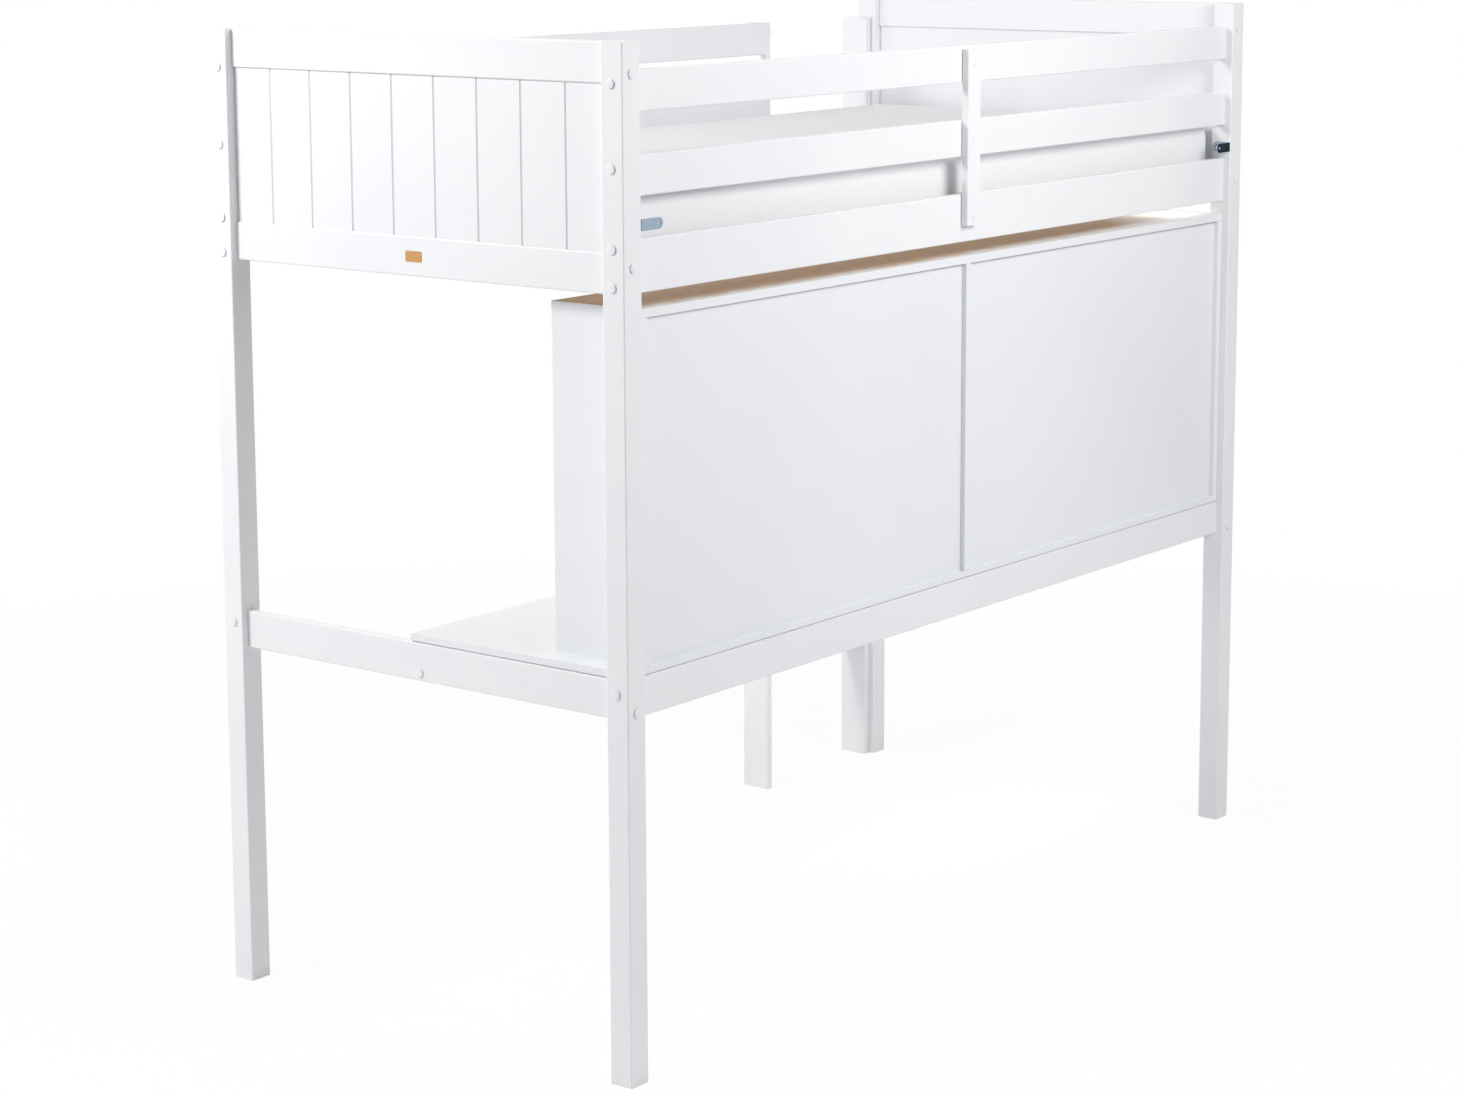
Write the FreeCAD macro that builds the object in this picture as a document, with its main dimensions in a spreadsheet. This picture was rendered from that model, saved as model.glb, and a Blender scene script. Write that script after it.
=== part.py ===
import FreeCAD, Part
import os
from types import SimpleNamespace
from FreeCAD import Placement, Rotation, Vector

# A wooden loft bed with a desk and a bookcase under it, for a 900 x 2000 mm mattress. Millimetres, +Z up.
# X runs along the bed: the ladder is at the -X end, and the +X end is the plain one.
# The back, which stands at the wall, faces +Y. The front, with the ladder and the way in, faces -Y.
# The origin is on the floor, under the middle of the outer box.

SIZES = {
    # the frame, over its posts
    "bed_length": 2090,
    "bed_width": 980,
    "post_height": 1800,
    "post_size": 47,
    "post_edge_radius": 2.5,
    # rails of the sides and ends
    "rail_thickness": 18,
    "rail_height": 70,
    "side_rail_height": 92,
    "rail_edge_radius": 3,
    "rail_setback": 16,
    "guard_drop": 48,
    "guard_gap": 71,
    "desk_rail_bottom": 648,
    # grooved panels in the ends
    "end_panel_thickness": 9,
    "end_panel_tongue": 8,
    "end_panel_slack": 0.4,
    "plank_groove_depth": 2.5,
    # upright batten on the back guard
    "batten_width": 44,
    "batten_thickness": 15,
    "batten_shift": 5,
    "batten_foot_rise": 32,
    "batten_head_drop": 7,
    # ladder
    "ladder_clear_width": 367,
    "stile_width": 68,
    "stile_thickness": 18,
    "stile_corner_radius": 14,
    "stile_edge_radius": 2,
    "stile_notch_slack": 0.5,
    "tread_thickness": 22,
    "tread_inset": 4,
    "tread_edge_radius": 4,
    # base that carries the mattress
    "ledge_width": 20,
    "ledge_height": 30,
    "ledge_end_gap": 40,
    "ledge_edge_radius": 1.5,
    "slat_width": 70,
    "slat_thickness": 18,
    "slat_end_gap": 3,
    "slat_edge_radius": 3,
    # mattress, from the gaps that it leaves in its bay
    "mattress_end_gap": 12.5,
    "mattress_side_gap": 6,
    "mattress_slack": 0.3,
    "mattress_thickness": 135,
    "mattress_crown": 16,
    "mattress_crown_run": 130,
    "mattress_corner_radius": 24,
    "mattress_edge_radius": 16,
    "mattress_draw_in": 4,
    # desk
    "desktop_thickness": 15,
    "desktop_depth": 500,
    "desktop_slack": 0.5,
    "desktop_rebate_height": 2.5,
    "desktop_rebate_depth": 4,
    "board_edge_radius": 1,
    "beam_setback": 12,
    # bookcase on the desk
    "case_board": 16,
    "case_depth": 200,
    "case_top_gap": 27,
    "case_post_slack": 0.5,
    "case_plain_gap": 17,
    "case_divider_shift": 12,
    "case_back_thickness": 5,
    "case_back_setback": 10,
    "case_back_top_gap": 3,
    "case_groove_depth": 6,
    "case_groove_slack": 0.3,
    "shelf_rise": 300,
    "shelf_setback": 6,
    "shelf_slack": 0.8,
    "shelf_pin_diameter": 5,
    "shelf_pin_length": 18,
    "shelf_pin_depth": 6,
    "shelf_pin_inset": 30,
    # bolts, nuts, dowels and caps
    "bolt_diameter": 6,
    "bolt_head_diameter": 12,
    "bolt_head_height": 4,
    "bolt_tip": 2,
    "post_recess": 10,
    "board_recess": 6,
    "nut_diameter": 10,
    "nut_length": 12,
    "nut_inset": 26,
    "dowel_diameter": 8,
    "dowel_length": 30,
    "dowel_flat_depth": 10,
    "cap_diameter": 17,
    "cap_rim": 0.8,
    "cap_height": 3,
    "cap_top_diameter": 9,
    "cap_stem": 1.5,
    # screws
    "screw_diameter": 4,
    "screw_head_diameter": 8,
    "screw_head_height": 2.5,
    "short_screw_length": 26,
    "long_screw_length": 50,
    "screw_cap_diameter": 10,
    "screw_cap_height": 1.2,
    "screw_cap_top_diameter": 6,
    # wall brackets and the blank plaque
    "bracket_width": 20,
    "bracket_thickness": 2.5,
    "bracket_reach": 57,
    "bracket_leg": 42,
    "bracket_bend_radius": 3,
    "bracket_hole_diameter": 6,
    "plaque_width": 38,
    "plaque_height": 19,
    "plaque_thickness": 1,
    # fits and cuts
    "hole_slack": 0.25,
    "fit_slack": 0.1,
    "hole_end_gap": 0.5,
    "cut_overrun": 1,
}
PLANK_COUNT = 9
SLAT_COUNT = 15
TREAD_COUNT = 4
LEDGE_SCREW_COUNT = 7

# Places of the joints, as shares of the height of the rail above its middle line.
GUARD_BOLT_SHARE = 0.2
GUARD_DOWEL_SHARE = -0.22
SIDE_BOLT_SHARES = (0.35, -0.35)
SIDE_DOWEL_SHARE = 0
END_TOP_BOLT_SHARE = -0.26
END_TOP_DOWEL_SHARE = 0.2
END_BOTTOM_BOLT_SHARE = 0.17
END_BOTTOM_DOWEL_SHARE = -0.22
CROSS_BOLT_SHARE = -0.28
CROSS_DOWEL_SHARE = 0.2
# Places across a width or along a length, as shares of it from its middle.
TREAD_SCREW_SHARE = 0.24
STILE_SCREW_SHARES = (0.17, -0.13)
CASE_DOWEL_SHARES = (0.3, -0.2)
DESK_DOWEL_SHARES = (0.3, 0, -0.3)
BRACKET_SCREW_SHARES = (0.45, 0.8)
BRACKET_RISE_SHARE = 0.35
BRACKET_ROUND_SHARE = 0.48
# The mattress's section: height and draw-back along its rounded edges, as shares of their radius.
EDGE_ROUND_SHARES = ((0, 1), (0.3, 0.29), (1, 0))
# Its crown: rise and run in from the rounded edge, as shares of the crown and of its run.
CROWN_SHARES = ((0.6, 0.35), (1, 1))

doc = FreeCAD.newDocument("loft_bed")
sheet = doc.addObject("Spreadsheet::Sheet", "Sizes")
for row, (alias, number) in enumerate(SIZES.items(), start=1):
    sheet.set(f"A{row}", alias)
    sheet.set(f"B{row}", str(number))
    sheet.setAlias(f"B{row}", alias)
doc.recompute()


class Length:
    """A length: its formula in the sheet, and its value."""

    def __init__(self, formula, value):
        self.formula = formula
        self.value = value

    def __add__(self, other):
        return Length(f"({self.formula} + {other.formula})", self.value + other.value)

    def __sub__(self, other):
        return Length(f"({self.formula} - {other.formula})", self.value - other.value)

    def __mul__(self, factor):
        return Length(f"({self.formula} * ({factor}))", self.value * factor)

    def __truediv__(self, divisor):
        return Length(f"({self.formula} / {divisor})", self.value / divisor)


class Face:
    """An outer plane of the frame, and the way that it looks along its axis."""

    def __init__(self, name, sign, at):
        self.name = name
        self.sign = sign
        self.at = at

    def inside(self, depth):
        return self.at - depth * self.sign

    def low(self, inset, depth):
        """The lower bound of a piece that starts inset behind the plane and is depth thick."""
        return self.inside(inset + depth) if self.sign > 0 else self.inside(inset)


size = SimpleNamespace(**{alias: Length(f"Sizes.{alias}", float(sheet.get(alias))) for alias in SIZES})
ZERO = Length("0", 0.0)
WAYS = {"x": Vector(1, 0, 0), "y": Vector(0, 1, 0), "z": Vector(0, 0, 1)}
AXES = "xyz"

# Levels and planes that several pieces share. The bed hangs from the tops of the posts.
guard_top = size.post_height - size.guard_drop
upper_guard_bottom = guard_top - size.rail_height
lower_guard_bottom = upper_guard_bottom - size.guard_gap - size.rail_height
side_rail_top = lower_guard_bottom - size.guard_gap
bed_rail_bottom = side_rail_top - size.side_rail_height
end_top_bottom = size.post_height - size.rail_height
end_bottom_top = bed_rail_bottom + size.rail_height
desk_rail_top = size.desk_rail_bottom + size.rail_height
desktop_top = desk_rail_top + size.desktop_thickness
case_top = bed_rail_bottom - size.case_top_gap
slat_bottom = bed_rail_bottom + size.ledge_height
slat_top = slat_bottom + size.slat_thickness

end_face = size.bed_length / 2
rail_depth = size.rail_setback + size.rail_thickness
end_setback = (size.post_size - size.rail_thickness) / 2
end_depth = end_setback + size.rail_thickness
back_face = (size.bed_width - rail_depth + size.stile_width - size.cap_height) / 2
front_face = back_face - size.bed_width
ladder_end = Face("ladder_end", -1, ZERO - end_face)
plain_end = Face("plain_end", 1, end_face)
front = Face("front", -1, front_face)
back = Face("back", 1, back_face)
ends = (ladder_end, plain_end)
sides = (front, back)
between_ends = size.bed_length - size.post_size * 2
between_sides = size.bed_width - size.post_size * 2
bay_length = size.bed_length - end_depth * 2
bay_width = size.bed_width - rail_depth * 2
bay_middle = (front_face + back_face) / 2

bolt_hole = size.bolt_diameter + size.hole_slack * 2
bolt_head_hole = size.bolt_head_diameter + size.hole_slack * 2
screw_hole = size.screw_diameter + size.fit_slack * 2
screw_head_hole = size.screw_head_diameter + size.hole_slack * 2
dowel_hole = size.dowel_diameter + size.fit_slack * 2
nut_hole = size.nut_diameter + size.hole_slack * 2
bolt_reach = size.nut_inset + size.nut_diameter / 2 + size.bolt_tip

nodes = []
corners = {}
groups = {}


def bind(thing, formulas):
    """Ties properties of an object to the sheet."""
    for name, length in formulas.items():
        thing.setExpression(name, length.formula)


def place(thing, at):
    bind(thing, {f"Placement.Base.{axis}": length for axis, length in zip(AXES, at)})


def turn(thing, axis, sign):
    """Turns an object made along +Z to look along an axis."""
    thing.Placement = Placement(Vector(), Rotation(WAYS["z"], WAYS[axis] * sign))


def moved(spot, axis, distance):
    return [length + distance if name == axis else length for name, length in zip(AXES, spot)]


def box(kind, body, low, extent):
    """Adds a block to a body, or cuts one from it, at a place in the bed's own frame."""
    block = body.newObject(f"PartDesign::{kind}Box", f"{body.Name}_{kind}_block".lower())
    place(block, [a - b for a, b in zip(low, corners[body.Name])])
    bind(block, {"Length": extent[0], "Width": extent[1], "Height": extent[2]})
    return block


def start_body(label, low, kept=True):
    body = doc.addObject("PartDesign::Body", label)
    body.Label = label
    place(body, low)
    corners[label] = low
    if kept:
        nodes.append(body)
    return body


def round_edges(body, base, wanted, radius):
    """Rounds the edges of a feature that wanted() picks."""
    doc.recompute()
    rounds = body.newObject("PartDesign::Fillet", f"{body.Name}_rounds")
    picked = [f"Edge{i}" for i, edge in enumerate(base.Shape.Edges, start=1) if wanted(edge)]
    rounds.Base = (base, picked)
    bind(rounds, {"Radius": radius})
    return rounds


def runs_along(axis):
    return lambda edge: abs(edge.tangentAt(edge.FirstParameter).dot(WAYS[axis])) > 0.99


def board(label, low, extent, grain, radius, kept=True):
    """A straight board with its long edges rounded."""
    body = start_body(label, low, kept)
    blank = box("Additive", body, low, extent)
    round_edges(body, blank, runs_along(grain), radius)
    return body


def drill(body, axis, sign, start, depth, diameter):
    """A round hole from just outside start, depth deep, running along sign times axis."""
    tool = body.newObject("PartDesign::SubtractiveCylinder", f"{body.Name}_hole")
    turn(tool, axis, sign)
    mouth = moved(start, axis, size.cut_overrun * -sign)
    place(tool, [a - b for a, b in zip(mouth, corners[body.Name])])
    bind(tool, {"Radius": diameter / 2, "Height": depth + size.cut_overrun})


def rod(name, diameter, length, start=ZERO, top=None):
    """A cylinder along +Z from start, or a cone where top gives another diameter."""
    rod_object = doc.addObject("Part::Cone" if top else "Part::Cylinder", name)
    if top:
        bind(rod_object, {"Radius1": diameter / 2, "Radius2": top / 2})
    else:
        bind(rod_object, {"Radius": diameter / 2})
    bind(rod_object, {"Height": length, "Placement.Base.z": start})
    return rod_object


def fused(name, pieces):
    whole = doc.addObject("Part::MultiFuse", name)
    whole.Shapes = pieces
    return whole


def fasten(group, master, axis, sign, at, spin=None):
    """Puts one more of a fastener, made along +Z, into its group; spin also turns it about its axis."""
    link = doc.addObject("App::Link", f"{group}_item")
    link.LinkedObject = master
    turn(link, axis, sign)
    if spin:
        link.Placement = Placement(Vector(), spin)
    place(link, at)
    groups.setdefault(group, []).append(link)


def headed(name, shank, head, head_height, length):
    """A bolt or screw: its head stands on z = 0 and its shank goes down."""
    top = rod(f"{name}_head", head, head_height)
    return fused(name, [top, rod(f"{name}_shank", shank, length, ZERO - length)])


def make_cap(name, diameter, top, rim, height, stem):
    """A plastic cover: a rim with a sloped button on it, and a short stem if the hole below takes one."""
    pieces = [rod(f"{name}_rim", diameter, rim), rod(f"{name}_button", diameter, height - rim, rim, top)]
    if stem:
        pieces.append(rod(f"{name}_stem", size.bolt_head_diameter, stem, ZERO - stem))
    return fused(name, pieces)


def make_nut():
    """A barrel nut about the origin, along +Z, with its hole along X."""
    barrel = rod("nut_barrel", size.nut_diameter, size.nut_length, ZERO - size.nut_length / 2)
    hole = doc.addObject("Part::Cylinder", "nut_hole")
    turn(hole, "x", 1)
    bind(hole, {"Radius": size.bolt_diameter / 2 + size.fit_slack, "Height": size.nut_diameter * 2})
    bind(hole, {"Placement.Base.x": ZERO - size.nut_diameter})
    nut = doc.addObject("Part::Cut", "barrel_nut")
    nut.Base = barrel
    nut.Tool = hole
    return nut


def bolt_joint(outer, rail, axis, sign, spot, kind, nut_axis, nut_sign):
    """A capped bolt through the outer piece into the end of a rail, with a barrel nut let into the rail.

    The spot is on the outer piece's face, which looks along sign times axis. The nut's hole is drilled
    from the side of the rail that looks along nut_sign times nut_axis."""
    drill(outer, axis, -sign, spot, kind.thickness + size.cut_overrun, bolt_hole)
    drill(outer, axis, -sign, spot, kind.recess, bolt_head_hole)
    meeting = moved(spot, axis, kind.thickness * -sign)
    drill(rail, axis, -sign, meeting, bolt_reach + size.hole_end_gap, bolt_hole)
    nut_middle = moved(meeting, axis, size.nut_inset * -sign)
    nut_mouth = moved(nut_middle, nut_axis, size.rail_thickness * nut_sign / 2)
    nut_depth = (size.rail_thickness + size.nut_length) / 2 + size.hole_end_gap
    drill(rail, nut_axis, -nut_sign, nut_mouth, nut_depth, nut_hole)
    fasten(kind.bolts, kind.bolt, axis, sign, moved(spot, axis, kind.recess * -sign))
    fasten("bolt_caps", bolt_cap, axis, sign, spot)
    spin = Rotation(WAYS[axis], WAYS[nut_axis].cross(WAYS[axis]), WAYS[nut_axis], "ZXY")
    fasten("barrel_nuts", barrel_nut, nut_axis, 1, nut_middle, spin)


def dowel_joint(group, outer, inner, axis, sign, spot, outer_depth):
    """A wooden dowel across the plane where two pieces meet; outer lies along sign times axis."""
    inner_depth = size.dowel_length - outer_depth
    drill(outer, axis, sign, spot, outer_depth + size.hole_end_gap, dowel_hole)
    drill(inner, axis, -sign, spot, inner_depth + size.hole_end_gap, dowel_hole)
    fasten(group, dowel, axis, sign, moved(spot, axis, inner_depth * -sign))


def screw_joint(group, outer, inner, axis, sign, spot, thickness, screw, length):
    """A sunk screw through the outer piece into the inner one; spot is on the outer piece's face."""
    drill(outer, axis, -sign, spot, thickness + size.cut_overrun, screw_hole)
    drill(outer, axis, -sign, spot, size.screw_head_height, screw_head_hole)
    reach = length + size.screw_head_height - thickness + size.hole_end_gap
    drill(inner, axis, -sign, moved(spot, axis, thickness * -sign), reach, screw_hole)
    fasten(group, screw, axis, sign, moved(spot, axis, size.screw_head_height * -sign))


# Fasteners, each made once along +Z and repeated by the joints.
bolt_sizes = (size.bolt_diameter, size.bolt_head_diameter, size.bolt_head_height)
screw_sizes = (size.screw_diameter, size.screw_head_diameter, size.screw_head_height)
short_screw = headed("short_screw", *screw_sizes, size.short_screw_length)
long_screw = headed("long_screw", *screw_sizes, size.long_screw_length)
bolt_cap = make_cap("bolt_cap", size.cap_diameter, size.cap_top_diameter, size.cap_rim, size.cap_height,
                    size.cap_stem)
screw_cap = make_cap("screw_cap", size.screw_cap_diameter, size.screw_cap_top_diameter,
                     size.screw_cap_height / 2, size.screw_cap_height, None)
dowel = rod("dowel", size.dowel_diameter, size.dowel_length)
shelf_pin = rod("shelf_pin", size.shelf_pin_diameter, size.shelf_pin_length)
barrel_nut = make_nut()


def bolted(name, thickness, recess, bolts):
    """What a bolted joint needs: the thickness that is bolted through, the recess, and a bolt to suit."""
    bolt = headed(name, *bolt_sizes, thickness - recess + bolt_reach)
    return SimpleNamespace(thickness=thickness, recess=recess, bolts=bolts, bolt=bolt)


through_post = bolted("post_bolt", size.post_size, size.post_recess, "post_bolts")
through_stile = bolted("stile_bolt", size.stile_thickness, size.board_recess, "board_bolts")
through_rail = bolted("rail_bolt", size.rail_thickness, size.board_recess, "board_bolts")


def make_posts():
    """Four square posts, with the groove that holds an end panel down the inner side of each."""
    posts = {}
    groove_width = size.end_panel_thickness + size.end_panel_slack * 2
    groove_bottom = end_bottom_top - size.end_panel_tongue
    groove_height = end_top_bottom - end_bottom_top + size.end_panel_tongue * 2
    for end in ends:
        for side in sides:
            low = (end.low(ZERO, size.post_size), side.low(ZERO, size.post_size), ZERO)
            extent = (size.post_size, size.post_size, size.post_height)
            post = board(f"post_{side.name}_{end.name}", low, extent, "z", size.post_edge_radius)
            groove_low = (
                end.low((size.post_size - groove_width) / 2, groove_width),
                side.low(size.post_size - size.end_panel_tongue, size.end_panel_tongue + size.cut_overrun),
                groove_bottom,
            )
            groove = (groove_width, size.end_panel_tongue + size.cut_overrun, groove_height)
            box("Subtractive", post, groove_low, groove)
            posts[side, end] = post
    return posts


def make_end_rail(label, end, bottom, bolt_share, dowel_share):
    """A rail between the two posts of an end, on their middle line, with a bolt and a dowel at each."""
    low = (end.low(end_setback, size.rail_thickness), front.inside(size.post_size), bottom)
    extent = (size.rail_thickness, between_sides, size.rail_height)
    rail = board(f"{label}_{end.name}", low, extent, "y", size.rail_edge_radius)
    middle = bottom + size.rail_height / 2
    across = end.inside(size.post_size / 2)
    for side in sides:
        spot = (across, side.at, middle + size.rail_height * bolt_share)
        bolt_joint(posts[side, end], rail, "y", side.sign, spot, through_post, "x", -end.sign)
        meeting = (across, side.inside(size.post_size), middle + size.rail_height * dowel_share)
        dowel_joint("rail_dowels", posts[side, end], rail, "y", side.sign, meeting, size.dowel_length / 2)
    return rail


def cut_panel_groove(rail, end, bottom):
    """The groove along an end rail that takes the edge of the panel."""
    width = size.end_panel_thickness + size.end_panel_slack * 2
    low = (
        end.low((size.post_size - width) / 2, width),
        front.inside(size.post_size) - size.cut_overrun,
        bottom,
    )
    extent = (width, between_sides + size.cut_overrun * 2, size.end_panel_tongue + size.cut_overrun)
    box("Subtractive", rail, low, extent)


def make_end_panel(end):
    """A panel of planks with a V groove at each joint, on the outer face, held in grooves on all four edges."""
    tongue = size.end_panel_tongue - size.end_panel_slack
    inset = (size.post_size - size.end_panel_thickness) / 2
    width = between_sides + tongue * 2
    height = end_top_bottom - end_bottom_top + tongue * 2
    low = (
        end.low(inset, size.end_panel_thickness),
        front.inside(size.post_size) - tongue,
        end_bottom_top - tongue,
    )
    panel = start_body(f"end_panel_{end.name}", low)
    box("Additive", panel, low, (size.end_panel_thickness, width, height))
    outer_face = size.end_panel_thickness if end.sign > 0 else ZERO
    for i in range(1, PLANK_COUNT):
        vee = panel.newObject("PartDesign::SubtractivePrism", f"{panel.Name}_vee")
        vee.Polygon = 4
        place(vee, (outer_face, width * i / PLANK_COUNT, ZERO - size.cut_overrun))
        bind(vee, {"Circumradius": size.plank_groove_depth, "Height": height + size.cut_overrun * 2})


def make_end(end):
    """One end of the bed: top and bottom rails with the panel between them, and the desk's cross rail."""
    top = make_end_rail("end_top_rail", end, end_top_bottom, END_TOP_BOLT_SHARE, END_TOP_DOWEL_SHARE)
    cut_panel_groove(top, end, end_top_bottom - size.cut_overrun)
    bottom = make_end_rail("end_bottom_rail", end, bed_rail_bottom, END_BOTTOM_BOLT_SHARE,
                           END_BOTTOM_DOWEL_SHARE)
    cut_panel_groove(bottom, end, end_bottom_top - size.end_panel_tongue)
    make_end_panel(end)
    return make_end_rail("desk_cross_rail", end, size.desk_rail_bottom, CROSS_BOLT_SHARE, CROSS_DOWEL_SHARE)


def join_rail_end(outer, rail, sign, face, side, bottom, height, kind, bolt_shares, dowel_share):
    """Bolts and a dowel between the end of a long rail and the post or stile that it meets."""
    across = side.inside(size.rail_setback + size.rail_thickness / 2)
    middle = bottom + height / 2
    for share in bolt_shares:
        spot = (face, across, middle + height * share)
        bolt_joint(outer, rail, "x", sign, spot, kind, "y", -side.sign)
    meeting = (face - kind.thickness * sign, across, middle + height * dowel_share)
    depth = size.dowel_length / 2 if kind is through_post else size.dowel_flat_depth
    dowel_joint("rail_dowels", outer, rail, "x", sign, meeting, depth)


def make_long_rail(label, side, bottom, height, bolt_shares, dowel_share):
    """A rail between the two posts of a side."""
    low = (ladder_end.inside(size.post_size), side.low(size.rail_setback, size.rail_thickness), bottom)
    rail = board(label, low, (between_ends, size.rail_thickness, height), "x", size.rail_edge_radius)
    for end in ends:
        join_rail_end(posts[side, end], rail, end.sign, end.at, side, bottom, height, through_post,
                      bolt_shares, dowel_share)
    return rail


def make_guard(label, side, bottom):
    return make_long_rail(label, side, bottom, size.rail_height, (GUARD_BOLT_SHARE,), GUARD_DOWEL_SHARE)


def make_side_rail(side):
    return make_long_rail(f"{side.name}_side_rail", side, bed_rail_bottom, size.side_rail_height,
                          SIDE_BOLT_SHARES, SIDE_DOWEL_SHARE)


def make_back_batten(rails):
    """The upright batten on the back of the guard rails and the side rail, with covered screws."""
    bottom = bed_rail_bottom + size.batten_foot_rise
    height = guard_top - size.batten_head_drop - bottom
    setback = size.rail_setback - size.batten_thickness
    middle = ZERO - size.batten_shift
    low = (middle - size.batten_width / 2, back.low(setback, size.batten_thickness), bottom)
    extent = (size.batten_width, size.batten_thickness, height)
    batten = board("back_guard_batten", low, extent, "z", size.rail_edge_radius)
    for rail, level in rails:
        spot = (middle, back.inside(setback), level)
        screw_joint("batten_screws", batten, rail, "y", back.sign, spot, size.batten_thickness, short_screw,
                    size.short_screw_length)
        fasten("screw_caps", screw_cap, "y", back.sign, spot)


def make_back():
    """The wall side: the side rail, two guard rails with their batten, and the rail under the desk."""
    side_rail = make_side_rail(back)
    lower = make_guard("back_lower_guard_rail", back, lower_guard_bottom)
    upper = make_guard("back_upper_guard_rail", back, upper_guard_bottom)
    make_back_batten((
        (side_rail, bed_rail_bottom + size.side_rail_height / 2),
        (lower, lower_guard_bottom + size.rail_height / 2),
        (upper, upper_guard_bottom + size.rail_height / 2),
    ))
    return side_rail, make_guard("back_desk_rail", back, size.desk_rail_bottom)


def make_stile(label, low_x, side_rail):
    """A ladder stile: a board with a rounded top corner, notched over the side rail and screwed to it."""
    inner_edge = front.inside(rail_depth)
    low = (low_x, inner_edge - size.stile_width, ZERO)
    stile = start_body(label, low)
    blank = box("Additive", stile, low, (size.stile_thickness, size.stile_width, guard_top))

    def top_front(edge):
        middle = edge.BoundBox.Center
        return runs_along("x")(edge) and middle.y < size.fit_slack.value and middle.z > guard_top.value / 2

    def outline(edge):
        bounds = edge.BoundBox
        return bounds.XLength < size.fit_slack.value and bounds.ZMax > size.fit_slack.value

    shaped = round_edges(stile, blank, top_front, size.stile_corner_radius)
    round_edges(stile, shaped, outline, size.stile_edge_radius)
    notch_low = (
        low_x - size.cut_overrun,
        front.inside(size.rail_setback),
        bed_rail_bottom - size.stile_notch_slack,
    )
    notch = (
        size.stile_thickness + size.cut_overrun * 2,
        size.rail_thickness + size.cut_overrun,
        size.side_rail_height + size.stile_notch_slack * 2,
    )
    box("Subtractive", stile, notch_low, notch)
    for share in STILE_SCREW_SHARES:
        level = bed_rail_bottom + size.side_rail_height * (0.5 + share)
        spot = (low_x + size.stile_thickness / 2, inner_edge, level)
        screw_joint("stile_screws", side_rail, stile, "y", 1, spot, size.rail_thickness, long_screw,
                    size.long_screw_length)
    return stile


def make_treads(post_stile, guard_stile, low_x):
    """Flat treads between the stiles, each with a dowel and a screw at both ends."""
    front_edge = front.inside(rail_depth) - size.stile_width
    depth = size.stile_width - size.tread_inset * 2
    for i in range(1, TREAD_COUNT + 1):
        bottom = side_rail_top * i / (TREAD_COUNT + 1) - size.tread_thickness
        low = (low_x, front_edge + size.tread_inset, bottom)
        extent = (size.ladder_clear_width, depth, size.tread_thickness)
        tread = board(f"ladder_tread_{i}", low, extent, "x", size.tread_edge_radius)
        level = bottom + size.tread_thickness / 2
        far_x = low_x + size.ladder_clear_width
        for stile, sign, meeting in ((post_stile, -1, low_x), (guard_stile, 1, far_x)):
            screw_spot = (
                meeting + size.stile_thickness * sign,
                front_edge + size.stile_width * (0.5 + TREAD_SCREW_SHARE),
                level,
            )
            screw_joint("tread_screws", stile, tread, "x", sign, screw_spot, size.stile_thickness,
                        long_screw, size.long_screw_length)
            if stile is guard_stile:
                fasten("screw_caps", screw_cap, "x", sign, screw_spot)
            dowel_spot = (meeting, front_edge + size.stile_width * (0.5 - TREAD_SCREW_SHARE), level)
            dowel_joint("tread_dowels", stile, tread, "x", sign, dowel_spot, size.dowel_flat_depth)


def make_front():
    """The open side: the side rail, the ladder, and guard rails from the plain end as far as the ladder."""
    side_rail = make_side_rail(front)
    post_stile_x = ladder_end.inside(size.post_size)
    tread_x = post_stile_x + size.stile_thickness
    guard_stile_x = tread_x + size.ladder_clear_width
    post_stile = make_stile("ladder_stile_post_side", post_stile_x, side_rail)
    guard_stile = make_stile("ladder_stile_guard_side", guard_stile_x, side_rail)
    make_treads(post_stile, guard_stile, tread_x)
    start = guard_stile_x + size.stile_thickness
    extent = (plain_end.inside(size.post_size) - start, size.rail_thickness, size.rail_height)
    for name, bottom in (("lower", lower_guard_bottom), ("upper", upper_guard_bottom)):
        low = (start, front.low(size.rail_setback, size.rail_thickness), bottom)
        rail = board(f"front_{name}_guard_rail", low, extent, "x", size.rail_edge_radius)
        plain_post = posts[front, plain_end]
        for outer, sign, face, kind in (
            (plain_post, 1, plain_end.at, through_post),
            (guard_stile, -1, guard_stile_x, through_stile),
        ):
            join_rail_end(outer, rail, sign, face, front, bottom, size.rail_height, kind,
                          (GUARD_BOLT_SHARE,), GUARD_DOWEL_SHARE)
    return side_rail


def cap_spare_holes():
    """The posts are drilled alike, so the holes that no rail uses are capped."""
    across = size.rail_setback + size.rail_thickness / 2
    guard_level = size.rail_height * (0.5 + GUARD_BOLT_SHARE)
    spare = [(end, size.desk_rail_bottom + guard_level) for end in ends]
    spare += [(ladder_end, guard + guard_level) for guard in (lower_guard_bottom, upper_guard_bottom)]
    for end, level in spare:
        spot = (end.at, front.inside(across), level)
        drill(posts[front, end], "x", -end.sign, spot, size.post_size + size.cut_overrun, bolt_hole)
        drill(posts[front, end], "x", -end.sign, spot, size.post_recess, bolt_head_hole)
        fasten("bolt_caps", bolt_cap, "x", end.sign, spot)


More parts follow.
